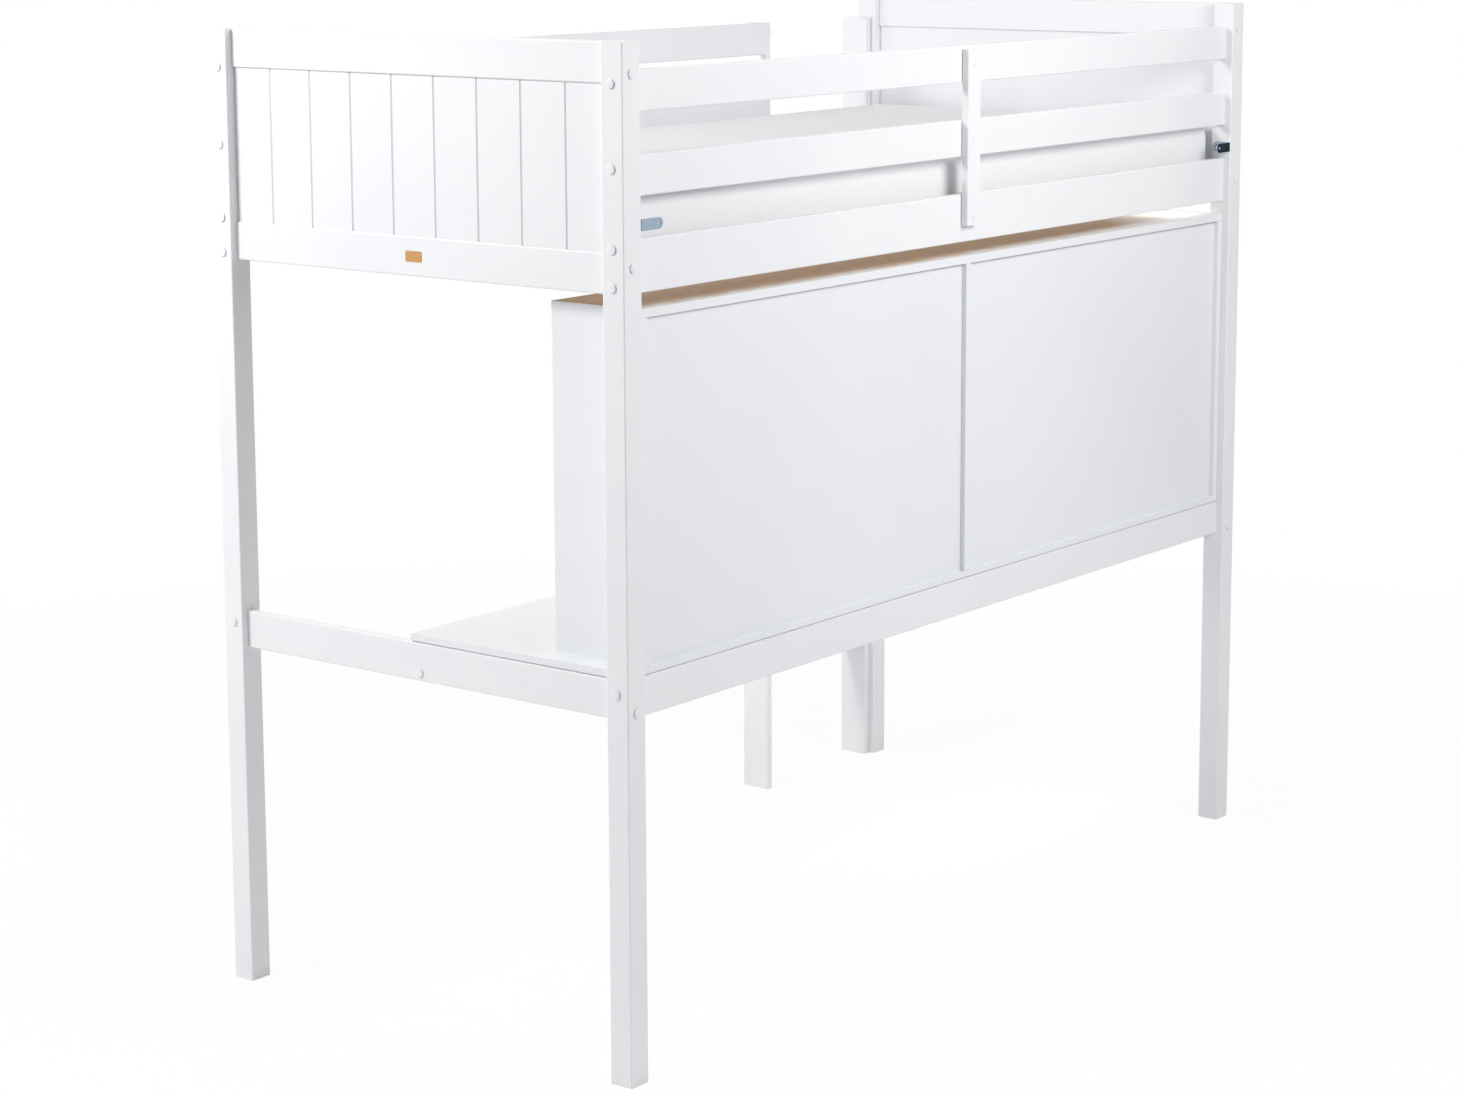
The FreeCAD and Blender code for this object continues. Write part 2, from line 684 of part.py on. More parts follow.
def make_ledge(side, side_rail):
    """The batten inside a side rail that carries the slats, level with the underside of the rail."""
    length = between_ends - size.ledge_end_gap * 2
    start = ladder_end.inside(size.post_size + size.ledge_end_gap)
    low = (start, side.low(rail_depth, size.ledge_width), bed_rail_bottom)
    extent = (length, size.ledge_width, size.ledge_height)
    ledge = board(f"slat_ledge_{side.name}", low, extent, "x", size.ledge_edge_radius)
    for i in range(LEDGE_SCREW_COUNT):
        spot = (
            start + length * (i + 0.5) / LEDGE_SCREW_COUNT,
            side.inside(rail_depth + size.ledge_width),
            bed_rail_bottom + size.ledge_height / 2,
        )
        screw_joint("ledge_screws", ledge, side_rail, "y", -side.sign, spot, size.ledge_width,
                    short_screw, size.short_screw_length)
    return ledge


def make_slats(ledges):
    """A row of slats across the two ledges, with a screw at each end."""
    pitch = bay_length / SLAT_COUNT
    length = bay_width - size.slat_end_gap * 2
    start_y = front.inside(rail_depth + size.slat_end_gap)
    low = (ZERO, start_y, slat_bottom)
    extent = (size.slat_width, length, size.slat_thickness)
    slat = board("slat", low, extent, "y", size.slat_edge_radius, kept=False)
    lines = [(side, side.inside(rail_depth + size.ledge_width / 2)) for side in sides]
    for side, line in lines:
        spot = (size.slat_width / 2, line, slat_top)
        drill(slat, "z", -1, spot, size.slat_thickness + size.cut_overrun, screw_hole)
        drill(slat, "z", -1, spot, size.screw_head_height, screw_head_hole)
    reach = size.short_screw_length + size.screw_head_height - size.slat_thickness + size.hole_end_gap
    for i in range(SLAT_COUNT):
        middle = pitch * (i + 0.5) - bay_length / 2
        fasten("bed_slats", slat, "z", 1, (middle - size.slat_width / 2, start_y, slat_bottom))
        for side, line in lines:
            spot = (middle, line, slat_top)
            drill(ledges[side], "z", -1, moved(spot, "z", ZERO - size.slat_thickness), reach, screw_hole)
            fasten("slat_screws", short_screw, "z", 1, moved(spot, "z", ZERO - size.screw_head_height))


def make_desk(cross_rails, back_rail):
    """The desktop on the rails of the ends and the back, with a beam under its front edge."""
    low = (ladder_end.inside(end_setback), back.low(size.rail_setback, size.desktop_depth), desk_rail_top)
    extent = (size.bed_length - end_setback * 2, size.desktop_depth, size.desktop_thickness)
    desktop = board("desktop", low, extent, "x", size.board_edge_radius)
    notch = size.post_size + size.desktop_slack
    for end in ends:
        corner = (end.low(ZERO, notch), back.low(ZERO, notch), desk_rail_top - size.cut_overrun)
        box("Subtractive", desktop, corner, (notch, notch, size.desktop_thickness + size.cut_overrun * 2))
    # a shadow gap runs round under its edge, over the rails of the ends and the back
    gap = size.desktop_rebate_depth + size.cut_overrun
    gap_height = size.desktop_rebate_height + size.cut_overrun
    gap_low = [edge - size.cut_overrun for edge in low]
    for end in ends:
        gap_x = end.low(end_setback - size.cut_overrun, gap)
        box("Subtractive", desktop, (gap_x, *gap_low[1:]), (gap, size.desktop_depth + size.cut_overrun * 2, gap_height))
    gap_y = back.low(size.rail_setback - size.cut_overrun, gap)
    box("Subtractive", desktop, (gap_low[0], gap_y, gap_low[2]), (extent[0] + size.cut_overrun * 2, gap, gap_height))
    beam_back = size.rail_setback + size.desktop_depth - size.beam_setback - size.rail_thickness
    beam_y = back.low(beam_back, size.rail_thickness)
    beam_low = (ladder_end.inside(end_depth), beam_y, size.desk_rail_bottom)
    beam_extent = (bay_length, size.rail_thickness, size.rail_height)
    beam = board("desk_front_beam", beam_low, beam_extent, "x", size.rail_edge_radius)
    beam_line = back.inside(beam_back + size.rail_thickness / 2)
    level = size.desk_rail_bottom + size.rail_height * (0.5 + CROSS_BOLT_SHARE)
    for end in ends:
        spot = (end.inside(end_setback), beam_line, level)
        bolt_joint(cross_rails[end], beam, "x", end.sign, spot, through_rail, "y", 1)
    rail_line = back.inside(size.rail_setback + size.rail_thickness / 2)
    for rail, line in ((beam, beam_line), (back_rail, rail_line)):
        for share in DESK_DOWEL_SHARES:
            spot = (size.bed_length * share, line, desk_rail_top)
            dowel_joint("desk_dowels", desktop, rail, "z", 1, spot, size.dowel_flat_depth)
    return desktop


def make_case_upright(label, low_x, desktop, top, grooved):
    """A side or the divider of the bookcase, dowelled at both ends and grooved for the back panels."""
    height = case_top - size.case_board - desktop_top
    low = (low_x, back.low(size.rail_setback, size.case_depth), desktop_top)
    upright = board(label, low, (size.case_board, size.case_depth, height), "z", size.board_edge_radius)
    groove = size.case_back_thickness + size.case_groove_slack * 2
    groove_y = back.low(size.rail_setback + size.case_back_setback - size.case_groove_slack, groove)
    for sign in grooved:
        face = low_x + size.case_board if sign > 0 else low_x
        start = face - size.case_groove_depth if sign > 0 else face - size.cut_overrun
        box("Subtractive", upright, (start, groove_y, desktop_top - size.cut_overrun),
            (size.case_groove_depth + size.cut_overrun, groove, height + size.cut_overrun * 2))
    for share in CASE_DOWEL_SHARES:
        line = low[1] + size.case_depth * (0.5 + share)
        middle = low_x + size.case_board / 2
        for flat, sign, level in ((top, 1, desktop_top + height), (desktop, -1, desktop_top)):
            spot = (middle, line, level)
            dowel_joint("case_dowels", flat, upright, "z", sign, spot, size.dowel_flat_depth)
    return upright


def make_shelf(name, low_x, width, uprights):
    """A loose shelf on four pins in the uprights beside it."""
    bottom = desktop_top + size.shelf_rise
    behind = size.rail_setback + size.case_back_setback + size.case_back_thickness + size.shelf_slack
    depth = size.rail_setback + size.case_depth - size.shelf_setback - behind
    low = (low_x + size.shelf_slack, back.low(behind, depth), bottom)
    extent = (width - size.shelf_slack * 2, depth, size.case_board)
    board(f"bookcase_shelf_{name}", low, extent, "x", size.board_edge_radius)
    level = bottom - size.shelf_pin_diameter / 2 - size.fit_slack
    hole = size.shelf_pin_diameter + size.fit_slack * 2
    for upright, face, sign in ((uprights[0], low_x, -1), (uprights[1], low_x + width, 1)):
        for line in (low[1] + size.shelf_pin_inset, low[1] + depth - size.shelf_pin_inset):
            spot = (face, line, level)
            drill(upright, "x", sign, spot, size.shelf_pin_depth + size.hole_end_gap, hole)
            free_end = moved(spot, "x", (size.shelf_pin_depth - size.shelf_pin_length) * sign)
            fasten("shelf_pins", shelf_pin, "x", sign, free_end)


def make_bookcase(desktop):
    """The bookcase on the back of the desktop, between the posts, with a divider and a back in each bay.

    It stands against the post of the ladder end, and leaves a gap at the other one.
    """
    inset = size.post_size + size.case_post_slack
    outer = size.bed_length - inset * 2 - size.case_plain_gap
    low_x = ladder_end.inside(inset)
    top_low = (low_x, back.low(size.rail_setback, size.case_depth), case_top - size.case_board)
    top_extent = (outer, size.case_depth, size.case_board)
    top = board("bookcase_top", top_low, top_extent, "x", size.board_edge_radius)
    left = make_case_upright("bookcase_side_ladder_end", low_x, desktop, top, (1,))
    divider_x = ZERO - size.case_divider_shift - size.case_board / 2
    divider = make_case_upright("bookcase_divider", divider_x, desktop, top, (-1, 1))
    right_x = plain_end.inside(inset + size.case_plain_gap + size.case_board)
    right = make_case_upright("bookcase_side_plain_end", right_x, desktop, top, (-1,))
    tongue = size.case_groove_depth - size.case_groove_slack
    height = case_top - size.case_board - desktop_top - size.case_back_top_gap
    bays = (("ladder_end", low_x + size.case_board, divider_x, (left, divider)),
            ("plain_end", divider_x + size.case_board, right_x, (divider, right)))
    for name, start, stop, uprights in bays:
        behind = size.rail_setback + size.case_back_setback
        panel_low = (start - tongue, back.low(behind, size.case_back_thickness), desktop_top)
        panel = start_body(f"bookcase_back_{name}", panel_low)
        extent = (stop - start + tongue * 2, size.case_back_thickness, height)
        box("Additive", panel, panel_low, extent)
        make_shelf(name, start, stop - start, uprights)


def make_bracket(end):
    """A steel angle on the inner side of a back post, with a hole for a screw into the wall."""
    middle = side_rail_top + size.guard_gap * BRACKET_RISE_SHARE
    bottom = middle - size.bracket_width / 2
    heel = end.inside(size.post_size)
    tip = end.inside(size.post_size + size.bracket_reach)
    low = (end.low(size.post_size, size.bracket_reach), back.low(ZERO, size.bracket_leg), bottom)
    bracket = start_body(f"wall_bracket_{end.name}", low)
    wall_low = (low[0], back.low(ZERO, size.bracket_thickness), bottom)
    wall_leg = (size.bracket_reach, size.bracket_thickness, size.bracket_width)
    box("Additive", bracket, wall_low, wall_leg)
    post_low = (end.low(size.post_size, size.bracket_thickness), low[1], bottom)
    post_leg = (size.bracket_thickness, size.bracket_leg, size.bracket_width)
    legs = box("Additive", bracket, post_low, post_leg)
    near = size.fit_slack.value

    def leg_ends(edge):
        at = edge.BoundBox.Center
        wall_end = runs_along("y")(edge) and abs(at.x + low[0].value - tip.value) < near
        post_end = runs_along("x")(edge) and abs(at.y) < near
        return wall_end or post_end

    def bend(edge):
        at = edge.BoundBox.Center
        outer = abs(at.y - size.bracket_leg.value) < near and abs(at.x + low[0].value - heel.value) < near
        return runs_along("z")(edge) and outer

    rounded = round_edges(bracket, legs, leg_ends, size.bracket_width * BRACKET_ROUND_SHARE)
    round_edges(bracket, rounded, bend, size.bracket_bend_radius)
    through = size.bracket_thickness + size.cut_overrun
    wall_hole = (tip + size.bracket_width * end.sign / 2, back.at, middle)
    drill(bracket, "y", -1, wall_hole, through, size.bracket_hole_diameter)
    for share in BRACKET_SCREW_SHARES:
        post_spot = (heel, back.inside(size.bracket_leg * share), middle)
        spot = moved(post_spot, "x", size.bracket_thickness * -end.sign)
        drill(bracket, "x", end.sign, spot, through, screw_hole)
        reach = size.short_screw_length - size.bracket_thickness + size.hole_end_gap
        drill(posts[back, end], "x", end.sign, post_spot, reach, screw_hole)
        fasten("bracket_screws", short_screw, "x", -end.sign, spot)


def make_plaque():
    """A small blank plaque on the outside of the plain end, in the middle of its bottom rail."""
    low = (
        plain_end.inside(end_setback),
        bay_middle - size.plaque_width / 2,
        bed_rail_bottom + (size.rail_height - size.plaque_height) / 2,
    )
    plaque = start_body("blank_plaque", low)
    box("Additive", plaque, low, (size.plaque_thickness, size.plaque_width, size.plaque_height))


def mattress_outline(inset, level):
    """The mattress's outline at one height: round corners, with sides drawn in a little between them."""
    half_x = bay_length.value / 2 - size.mattress_end_gap.value - inset
    half_y = bay_width.value / 2 - size.mattress_side_gap.value - inset
    radius = max(size.mattress_corner_radius.value - inset, size.mattress_edge_radius.value)
    bow = size.mattress_draw_in.value
    diagonal = radius * 0.5 ** 0.5
    edges = []
    for sx, sy in ((1, -1), (1, 1), (-1, 1), (-1, -1)):
        centre = Vector(sx * (half_x - radius), sy * (half_y - radius), level)
        first = centre + (Vector(0, sy * radius, 0) if sx * sy < 0 else Vector(sx * radius, 0, 0))
        last = centre + (Vector(sx * radius, 0, 0) if sx * sy < 0 else Vector(0, sy * radius, 0))
        edges.append(Part.Arc(first, centre + Vector(sx * diagonal, sy * diagonal, 0), last).toShape())
        if sx * sy < 0:
            middle = Vector(sx * (half_x - bow), 0, level)
            end = Vector(last.x, -last.y, level)
        else:
            middle = Vector(0, sy * (half_y - bow), level)
            end = Vector(-last.x, last.y, level)
        edges.append(Part.Arc(last, middle, end).toShape())
    return Part.Wire(edges)


def make_mattress():
    """A foam mattress with soft edges and a crowned top, lying on the slats."""
    radius = size.mattress_edge_radius.value
    crown = size.mattress_crown.value
    shoulder = size.mattress_thickness.value - crown
    run = size.mattress_crown_run.value
    rounds = [(rise * radius, back_by * radius) for rise, back_by in EDGE_ROUND_SHARES]
    levels = rounds + [(shoulder - rise, back_by) for rise, back_by in reversed(rounds)]
    levels += [(shoulder + rise * crown, radius + along * run) for rise, along in CROWN_SHARES]
    wires = [mattress_outline(inset, level) for level, inset in levels]
    mattress = doc.addObject("Part::Feature", "mattress")
    mattress.Label = "mattress"
    mattress.Shape = Part.makeLoft(wires, True, True)
    mattress.Placement = Placement(Vector(), Rotation())
    place(mattress, (ZERO, bay_middle, slat_top + size.mattress_slack))
    nodes.append(mattress)


def close_groups():
    """One node for each kind of repeated piece."""
    for label, items in groups.items():
        group = doc.addObject("Part::Compound", label)
        group.Label = label
        group.Links = items
        nodes.append(group)


def check_and_write():
    """Stops on any failed feature or bad shape, then writes one file for each node."""
    for thing in doc.Objects:
        if "Invalid" in thing.State or "Error" in thing.State:
            raise RuntimeError(f"{thing.Name} failed: {thing.State}")
    for node in nodes:
        if node.Shape.isNull() or not node.Shape.isValid() or not node.Shape.Solids:
            raise RuntimeError(f"{node.Label} has no good shape")
    os.makedirs("parts", exist_ok=True)
    for node in nodes:
        node.Shape.exportStep(f"parts/{node.Label}.step")
        print(node.Label, len(node.Shape.Solids), round(node.Shape.Volume))


posts = make_posts()
cross_rails = {end: make_end(end) for end in ends}
back_side_rail, back_desk_rail = make_back()
front_side_rail = make_front()
cap_spare_holes()
make_slats({front: make_ledge(front, front_side_rail), back: make_ledge(back, back_side_rail)})
desktop = make_desk(cross_rails, back_desk_rail)
make_bookcase(desktop)
for end in ends:
    make_bracket(end)
make_plaque()
make_mattress()
close_groups()
doc.recompute()
check_and_write()
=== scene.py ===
import math

import bmesh
import bpy
import numpy as np
from mathutils import Matrix, Vector, noise


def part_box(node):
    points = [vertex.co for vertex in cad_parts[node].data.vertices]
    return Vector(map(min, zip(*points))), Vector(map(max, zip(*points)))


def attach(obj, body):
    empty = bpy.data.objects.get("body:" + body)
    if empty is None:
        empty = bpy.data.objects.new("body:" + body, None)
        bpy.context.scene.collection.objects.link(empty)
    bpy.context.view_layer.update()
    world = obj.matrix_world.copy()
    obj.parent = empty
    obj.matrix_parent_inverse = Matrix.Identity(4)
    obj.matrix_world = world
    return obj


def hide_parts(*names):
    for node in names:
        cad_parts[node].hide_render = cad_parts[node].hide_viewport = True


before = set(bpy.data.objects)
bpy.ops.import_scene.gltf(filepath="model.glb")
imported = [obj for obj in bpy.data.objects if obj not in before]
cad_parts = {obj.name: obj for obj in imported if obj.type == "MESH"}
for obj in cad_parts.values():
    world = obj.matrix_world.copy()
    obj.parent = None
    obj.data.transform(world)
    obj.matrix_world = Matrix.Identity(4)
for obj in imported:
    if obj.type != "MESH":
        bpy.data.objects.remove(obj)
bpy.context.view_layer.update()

# Posts. Four square lengths of planed softwood stand at the corners, primed and sprayed satin white.
# The paint keeps a trace of the grain, which runs up the post, and a fine pebbled skin from the spray.


def add_node(tree, kind, inputs=None, **settings):
    """One node of a tree, with its inputs set to values or joined to other nodes' outputs."""
    node = tree.nodes.new(kind)
    for name, value in settings.items():
        setattr(node, name, value)
    for name, value in (inputs or {}).items():
        if isinstance(value, bpy.types.NodeSocket):
            tree.links.new(value, node.inputs[name])
        else:
            node.inputs[name].default_value = value
    return node


def result_of(tree, operation, *values, **settings):
    """What a sum on values or on other nodes' outputs comes to."""
    return add_node(tree, "ShaderNodeMath", dict(enumerate(values)), operation=operation, **settings).outputs[0]


def new_finish(name):
    """A material with an empty tree, and its shader."""
    finish = bpy.data.materials.new(name)
    finish.use_nodes = True
    tree = finish.node_tree
    tree.nodes.clear()
    shader = add_node(tree, "ShaderNodeBsdfPrincipled")
    add_node(tree, "ShaderNodeOutputMaterial", {"Surface": shader.outputs["BSDF"]})
    return finish, tree, shader


def stretched(tree, coordinates, grain, along, across):
    """Coordinates that are drawn out along the grain, for a texture with that many turns a metre."""
    scale = [along if axis == grain else across for axis in "XYZ"]
    return add_node(tree, "ShaderNodeMapping", {"Vector": coordinates, "Scale": scale}).outputs["Vector"]


def spread(tree, value, low, high, to_low, to_high):
    """A value from one range set out over another."""
    inputs = {"Value": value, "From Min": low, "From Max": high, "To Min": to_low, "To Max": to_high}
    return add_node(tree, "ShaderNodeMapRange", inputs).outputs["Result"]


def blend_colours(tree, factor, first, second, blend="MIX"):
    mix = add_node(tree, "ShaderNodeMix", data_type="RGBA", blend_type=blend)
    for socket, value in ((mix.inputs[0], factor), (mix.inputs[6], first), (mix.inputs[7], second)):
        if isinstance(value, bpy.types.NodeSocket):
            tree.links.new(value, socket)
        else:
            socket.default_value = value
    return mix.outputs[2]


def board_lot(tree, position, start, pitch):
    """A value and a colour by lot for each board, counted along one axis."""
    counted = result_of(tree, "DIVIDE", result_of(tree, "SUBTRACT", position, start), pitch)
    number = result_of(tree, "FLOOR", counted)
    return add_node(tree, "ShaderNodeTexWhiteNoise", {"W": number}, noise_dimensions="1D").outputs


def sprayed_wood(name, grain, plank_pitch=None, plank_start=0.0):
    """Satin white paint over wood whose grain runs along one axis, in planks where a pitch is given."""
    finish, tree, shader = new_finish(name)
    place = add_node(tree, "ShaderNodeTexCoord").outputs["Object"]
    grain_lines = add_node(tree, "ShaderNodeTexNoise", {
        "Vector": stretched(tree, place, grain, 5.0, 190.0), "Scale": 1.0, "Detail": 4.0, "Roughness": 0.55,
    }).outputs["Fac"]
    skin = add_node(tree, "ShaderNodeTexNoise", {
        "Vector": place, "Scale": 700.0, "Detail": 2.0, "Roughness": 0.5}).outputs["Fac"]
    clouds = add_node(tree, "ShaderNodeTexNoise", {
        "Vector": place, "Scale": 3.1, "Detail": 3.0, "Roughness": 0.5}).outputs["Fac"]
    tone = blend_colours(tree, spread(tree, clouds, 0.3, 0.7, 0.0, 1.0),
                         (0.815, 0.822, 0.838, 1), (0.852, 0.856, 0.866, 1))
    tone = blend_colours(tree, spread(tree, grain_lines, 0.35, 0.7, 0.0, 0.03), tone, (0.70, 0.70, 0.70, 1))
    if plank_pitch:
        across = add_node(tree, "ShaderNodeSeparateXYZ", {"Vector": place}).outputs["Y"]
        lot = board_lot(tree, across, plank_start, plank_pitch)["Value"]
        tone = blend_colours(tree, spread(tree, lot, 0.0, 1.0, 0.0, 0.10), tone, (0.74, 0.75, 0.77, 1))
    grain_bump = add_node(tree, "ShaderNodeBump", {"Height": grain_lines, "Strength": 0.10, "Distance": 0.0003})
    skin_bump = add_node(tree, "ShaderNodeBump", {
        "Height": skin, "Strength": 0.10, "Distance": 0.0002, "Normal": grain_bump.outputs["Normal"]})
    tree.links.new(tone, shader.inputs["Base Color"])
    tree.links.new(spread(tree, grain_lines, 0.3, 0.7, 0.36, 0.50), shader.inputs["Roughness"])
    tree.links.new(skin_bump.outputs["Normal"], shader.inputs["Normal"])
    shader.inputs["Specular IOR Level"].default_value = 0.42
    return finish


def dress(finish, *nodes):
    """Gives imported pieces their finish."""
    for node in nodes:
        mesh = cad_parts[node].data
        mesh.materials.clear()
        mesh.materials.append(finish)


upright_paint = sprayed_wood("white_paint_upright", "Z")
dress(upright_paint, "post_front_ladder_end", "post_back_ladder_end", "post_front_plain_end", "post_back_plain_end")

# Ends. Each has a top rail, a bottom rail and a cross rail for the desk between its posts, painted like them.
# A tongued panel of narrow planks sits in grooves all round, with a V cut where two planks meet.
cross_paint = sprayed_wood("white_paint_across", "Y")
PLANKS_IN_PANEL = 9
panel_low, panel_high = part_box("end_panel_plain_end")
plank_pitch = (panel_high[1] - panel_low[1]) / PLANKS_IN_PANEL
plank_paint = sprayed_wood("white_paint_planks", "Z", plank_pitch, panel_low[1])
for end in ("ladder_end", "plain_end"):
    dress(cross_paint, f"end_top_rail_{end}", f"end_bottom_rail_{end}", f"desk_cross_rail_{end}")
    dress(plank_paint, f"end_panel_{end}")

# Wall side. A deep side rail carries the base, two guard rails run above it, and one more rail holds the desk.
# An upright batten is screwed over the guard rails in the middle, to stiffen them.
long_paint = sprayed_wood("white_paint_along", "X")
dress(long_paint, "back_side_rail", "back_lower_guard_rail", "back_upper_guard_rail", "back_desk_rail")
dress(upright_paint, "back_guard_batten")

# Open side. The same deep side rail, with two guard rails that stop at the ladder and leave the way in open.
# They are planed softwood under the same white paint, with the grain along them.
dress(long_paint, "front_side_rail", "front_lower_guard_rail", "front_upper_guard_rail")

# Ladder. Two boards on edge, round at the top corner, are notched over the side rail and stand on the floor.
# Four flat treads with eased edges are dowelled and screwed between them. All of it is painted white.
dress(upright_paint, "ladder_stile_post_side", "ladder_stile_guard_side")
dress(long_paint, "ladder_tread_1", "ladder_tread_2", "ladder_tread_3", "ladder_tread_4")

# Base. Planed pine slats without a finish lie across two ledges that are screwed to the side rails.
# Each slat is cut from another board, so its grain and tone differ from its neighbours'.
dress(long_paint, "slat_ledge_front", "slat_ledge_back")


def planed_pine(name, grain, board_axis, board_pitch, board_start):
    """Bare pine with long growth lines; each board along board_axis has its own part of the pattern."""
    finish, tree, shader = new_finish(name)
    place = add_node(tree, "ShaderNodeTexCoord").outputs["Object"]
    split = add_node(tree, "ShaderNodeSeparateXYZ", {"Vector": place}).outputs
    lot = board_lot(tree, split[board_axis], board_start, board_pitch)
    moved = add_node(tree, "ShaderNodeVectorMath", {0: place, 1: lot["Color"]}, operation="ADD").outputs[0]
    drift = add_node(tree, "ShaderNodeTexNoise", {
        "Vector": stretched(tree, moved, grain, 1.6, 9.0), "Scale": 1.0, "Detail": 2.0}).outputs["Color"]
    bent = add_node(tree, "ShaderNodeVectorMath", {0: moved, 1: drift}, operation="ADD").outputs[0]
    rings = add_node(tree, "ShaderNodeTexNoise", {
        "Vector": stretched(tree, bent, grain, 2.0, 70.0), "Scale": 1.0, "Detail": 5.0, "Roughness": 0.62,
    }).outputs["Fac"]
    fibres = add_node(tree, "ShaderNodeTexNoise", {
        "Vector": stretched(tree, moved, grain, 30.0, 900.0), "Scale": 1.0, "Detail": 2.0}).outputs["Fac"]
    tone = blend_colours(tree, spread(tree, rings, 0.38, 0.64, 0.0, 1.0), (0.72, 0.56, 0.36, 1), (0.58, 0.41, 0.23, 1))
    tone = blend_colours(tree, spread(tree, lot["Value"], 0.0, 1.0, 0.0, 0.35), tone, (0.76, 0.62, 0.43, 1))
    bump = add_node(tree, "ShaderNodeBump", {"Height": fibres, "Strength": 0.25, "Distance": 0.0003})
    tree.links.new(tone, shader.inputs["Base Color"])
    tree.links.new(spread(tree, fibres, 0.3, 0.7, 0.55, 0.72), shader.inputs["Roughness"])
    tree.links.new(bump.outputs["Normal"], shader.inputs["Normal"])
    return finish


SLAT_COUNT = 15
SLAT_GAP = 0.065
slats_low, slats_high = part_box("bed_slats")
slat_pitch = (slats_high[0] - slats_low[0] + SLAT_GAP) / SLAT_COUNT
pine = planed_pine("planed_pine", grain="Y", board_axis="X", board_pitch=slat_pitch,
                   board_start=slats_low[0] - SLAT_GAP / 2)
dress(pine, "bed_slats")

# Mattress. A foam block in a white woven cover lies loose on the slats, crowned on top and soft at its edges.
# The cover is blown out a little from inside, as foam fills it, and stays flat where it rests on the slats.


def merged_copy(node):
    """A piece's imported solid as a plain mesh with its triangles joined."""
    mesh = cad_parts[node].data.copy()
    work = bmesh.new()
    work.from_mesh(mesh)
    bmesh.ops.remove_doubles(work, verts=work.verts, dist=1e-6)
    work.to_mesh(mesh)
    work.free()
    return mesh


def show(name, mesh):
    piece = bpy.data.objects.new(name, mesh)
    bpy.context.scene.collection.objects.link(piece)
    return piece


def settled(piece):
    """The mesh that a piece's modifiers make, with the modifiers taken off."""
    bpy.context.view_layer.update()
    mesh = bpy.data.meshes.new_from_object(piece.evaluated_get(bpy.context.evaluated_depsgraph_get()))
    piece.modifiers.clear()
    piece.data = mesh


def corners_of(mesh):
    points = np.empty(len(mesh.vertices) * 3)
    mesh.vertices.foreach_get("co", points)
    return points.reshape(-1, 3)


def put_corners(mesh, points):
    mesh.vertices.foreach_set("co", points.ravel())
    mesh.update()


COVER_GRID = 0.011
COVER_SHRINK = 0.003
COVER_SWELL = 0.006
FILLING_STEPS = 20
WIDE_CREASES = 3.2
FINE_CREASES = 9.0
FINE_CREASE_SHARE = 0.4
CREASE_HEIGHT = 0.0012
CREASES_START = 0.03
CREASES_FULL_AFTER = 0.05
ROOM_BELOW = (0.004, 0.003, 0)
ROOM_ABOVE = (0.004, 0.003, 0.006)
mattress = show("mattress_cover", merged_copy("mattress"))
grid = mattress.modifiers.new("even_grid", "REMESH")
grid.mode = "VOXEL"
grid.voxel_size = COVER_GRID
grid.use_smooth_shade = True
settled(mattress)
mattress_low, mattress_high = [np.array(corner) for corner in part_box("mattress")]
middle = (mattress_low + mattress_high) / 2
half = (mattress_high - mattress_low) / 2
start = (corners_of(mattress.data) - middle) * (1 - COVER_SHRINK / half) + middle
put_corners(mattress.data, start)
blown = mattress.modifiers.new("filling", "CLOTH")
blown.settings.quality = 4
blown.settings.mass = 0.35
blown.settings.tension_stiffness = 30
blown.settings.compression_stiffness = 30
blown.settings.shear_stiffness = 8
blown.settings.bending_stiffness = 2
blown.settings.use_pressure = True
blown.settings.uniform_pressure_force = 4
blown.settings.effector_weights.gravity = 0
blown.point_cache.frame_start = 1
blown.point_cache.frame_end = FILLING_STEPS
for step in range(1, FILLING_STEPS + 1):
    bpy.context.scene.frame_set(step)
settled(mattress)
bpy.context.scene.frame_set(1)
swollen = corners_of(mattress.data)
travel = swollen - start
reach = np.linalg.norm(travel, axis=1, keepdims=True)
swollen = start + travel * np.minimum(1, COVER_SWELL / np.maximum(reach, 1e-9))
creases = np.array([
    noise.noise(Vector(point) * WIDE_CREASES) + FINE_CREASE_SHARE * noise.noise(Vector(point) * FINE_CREASES)
    for point in swollen])
upper = np.clip((swollen[:, 2] - mattress_low[2] - CREASES_START) / CREASES_FULL_AFTER, 0, 1)
swollen[:, 2] += creases * CREASE_HEIGHT * upper
swollen = np.clip(swollen, mattress_low - ROOM_BELOW, mattress_high + ROOM_ABOVE)
put_corners(mattress.data, swollen)
fine = mattress.modifiers.new("smoother", "SUBSURF")
fine.levels = fine.render_levels = 1
settled(mattress)


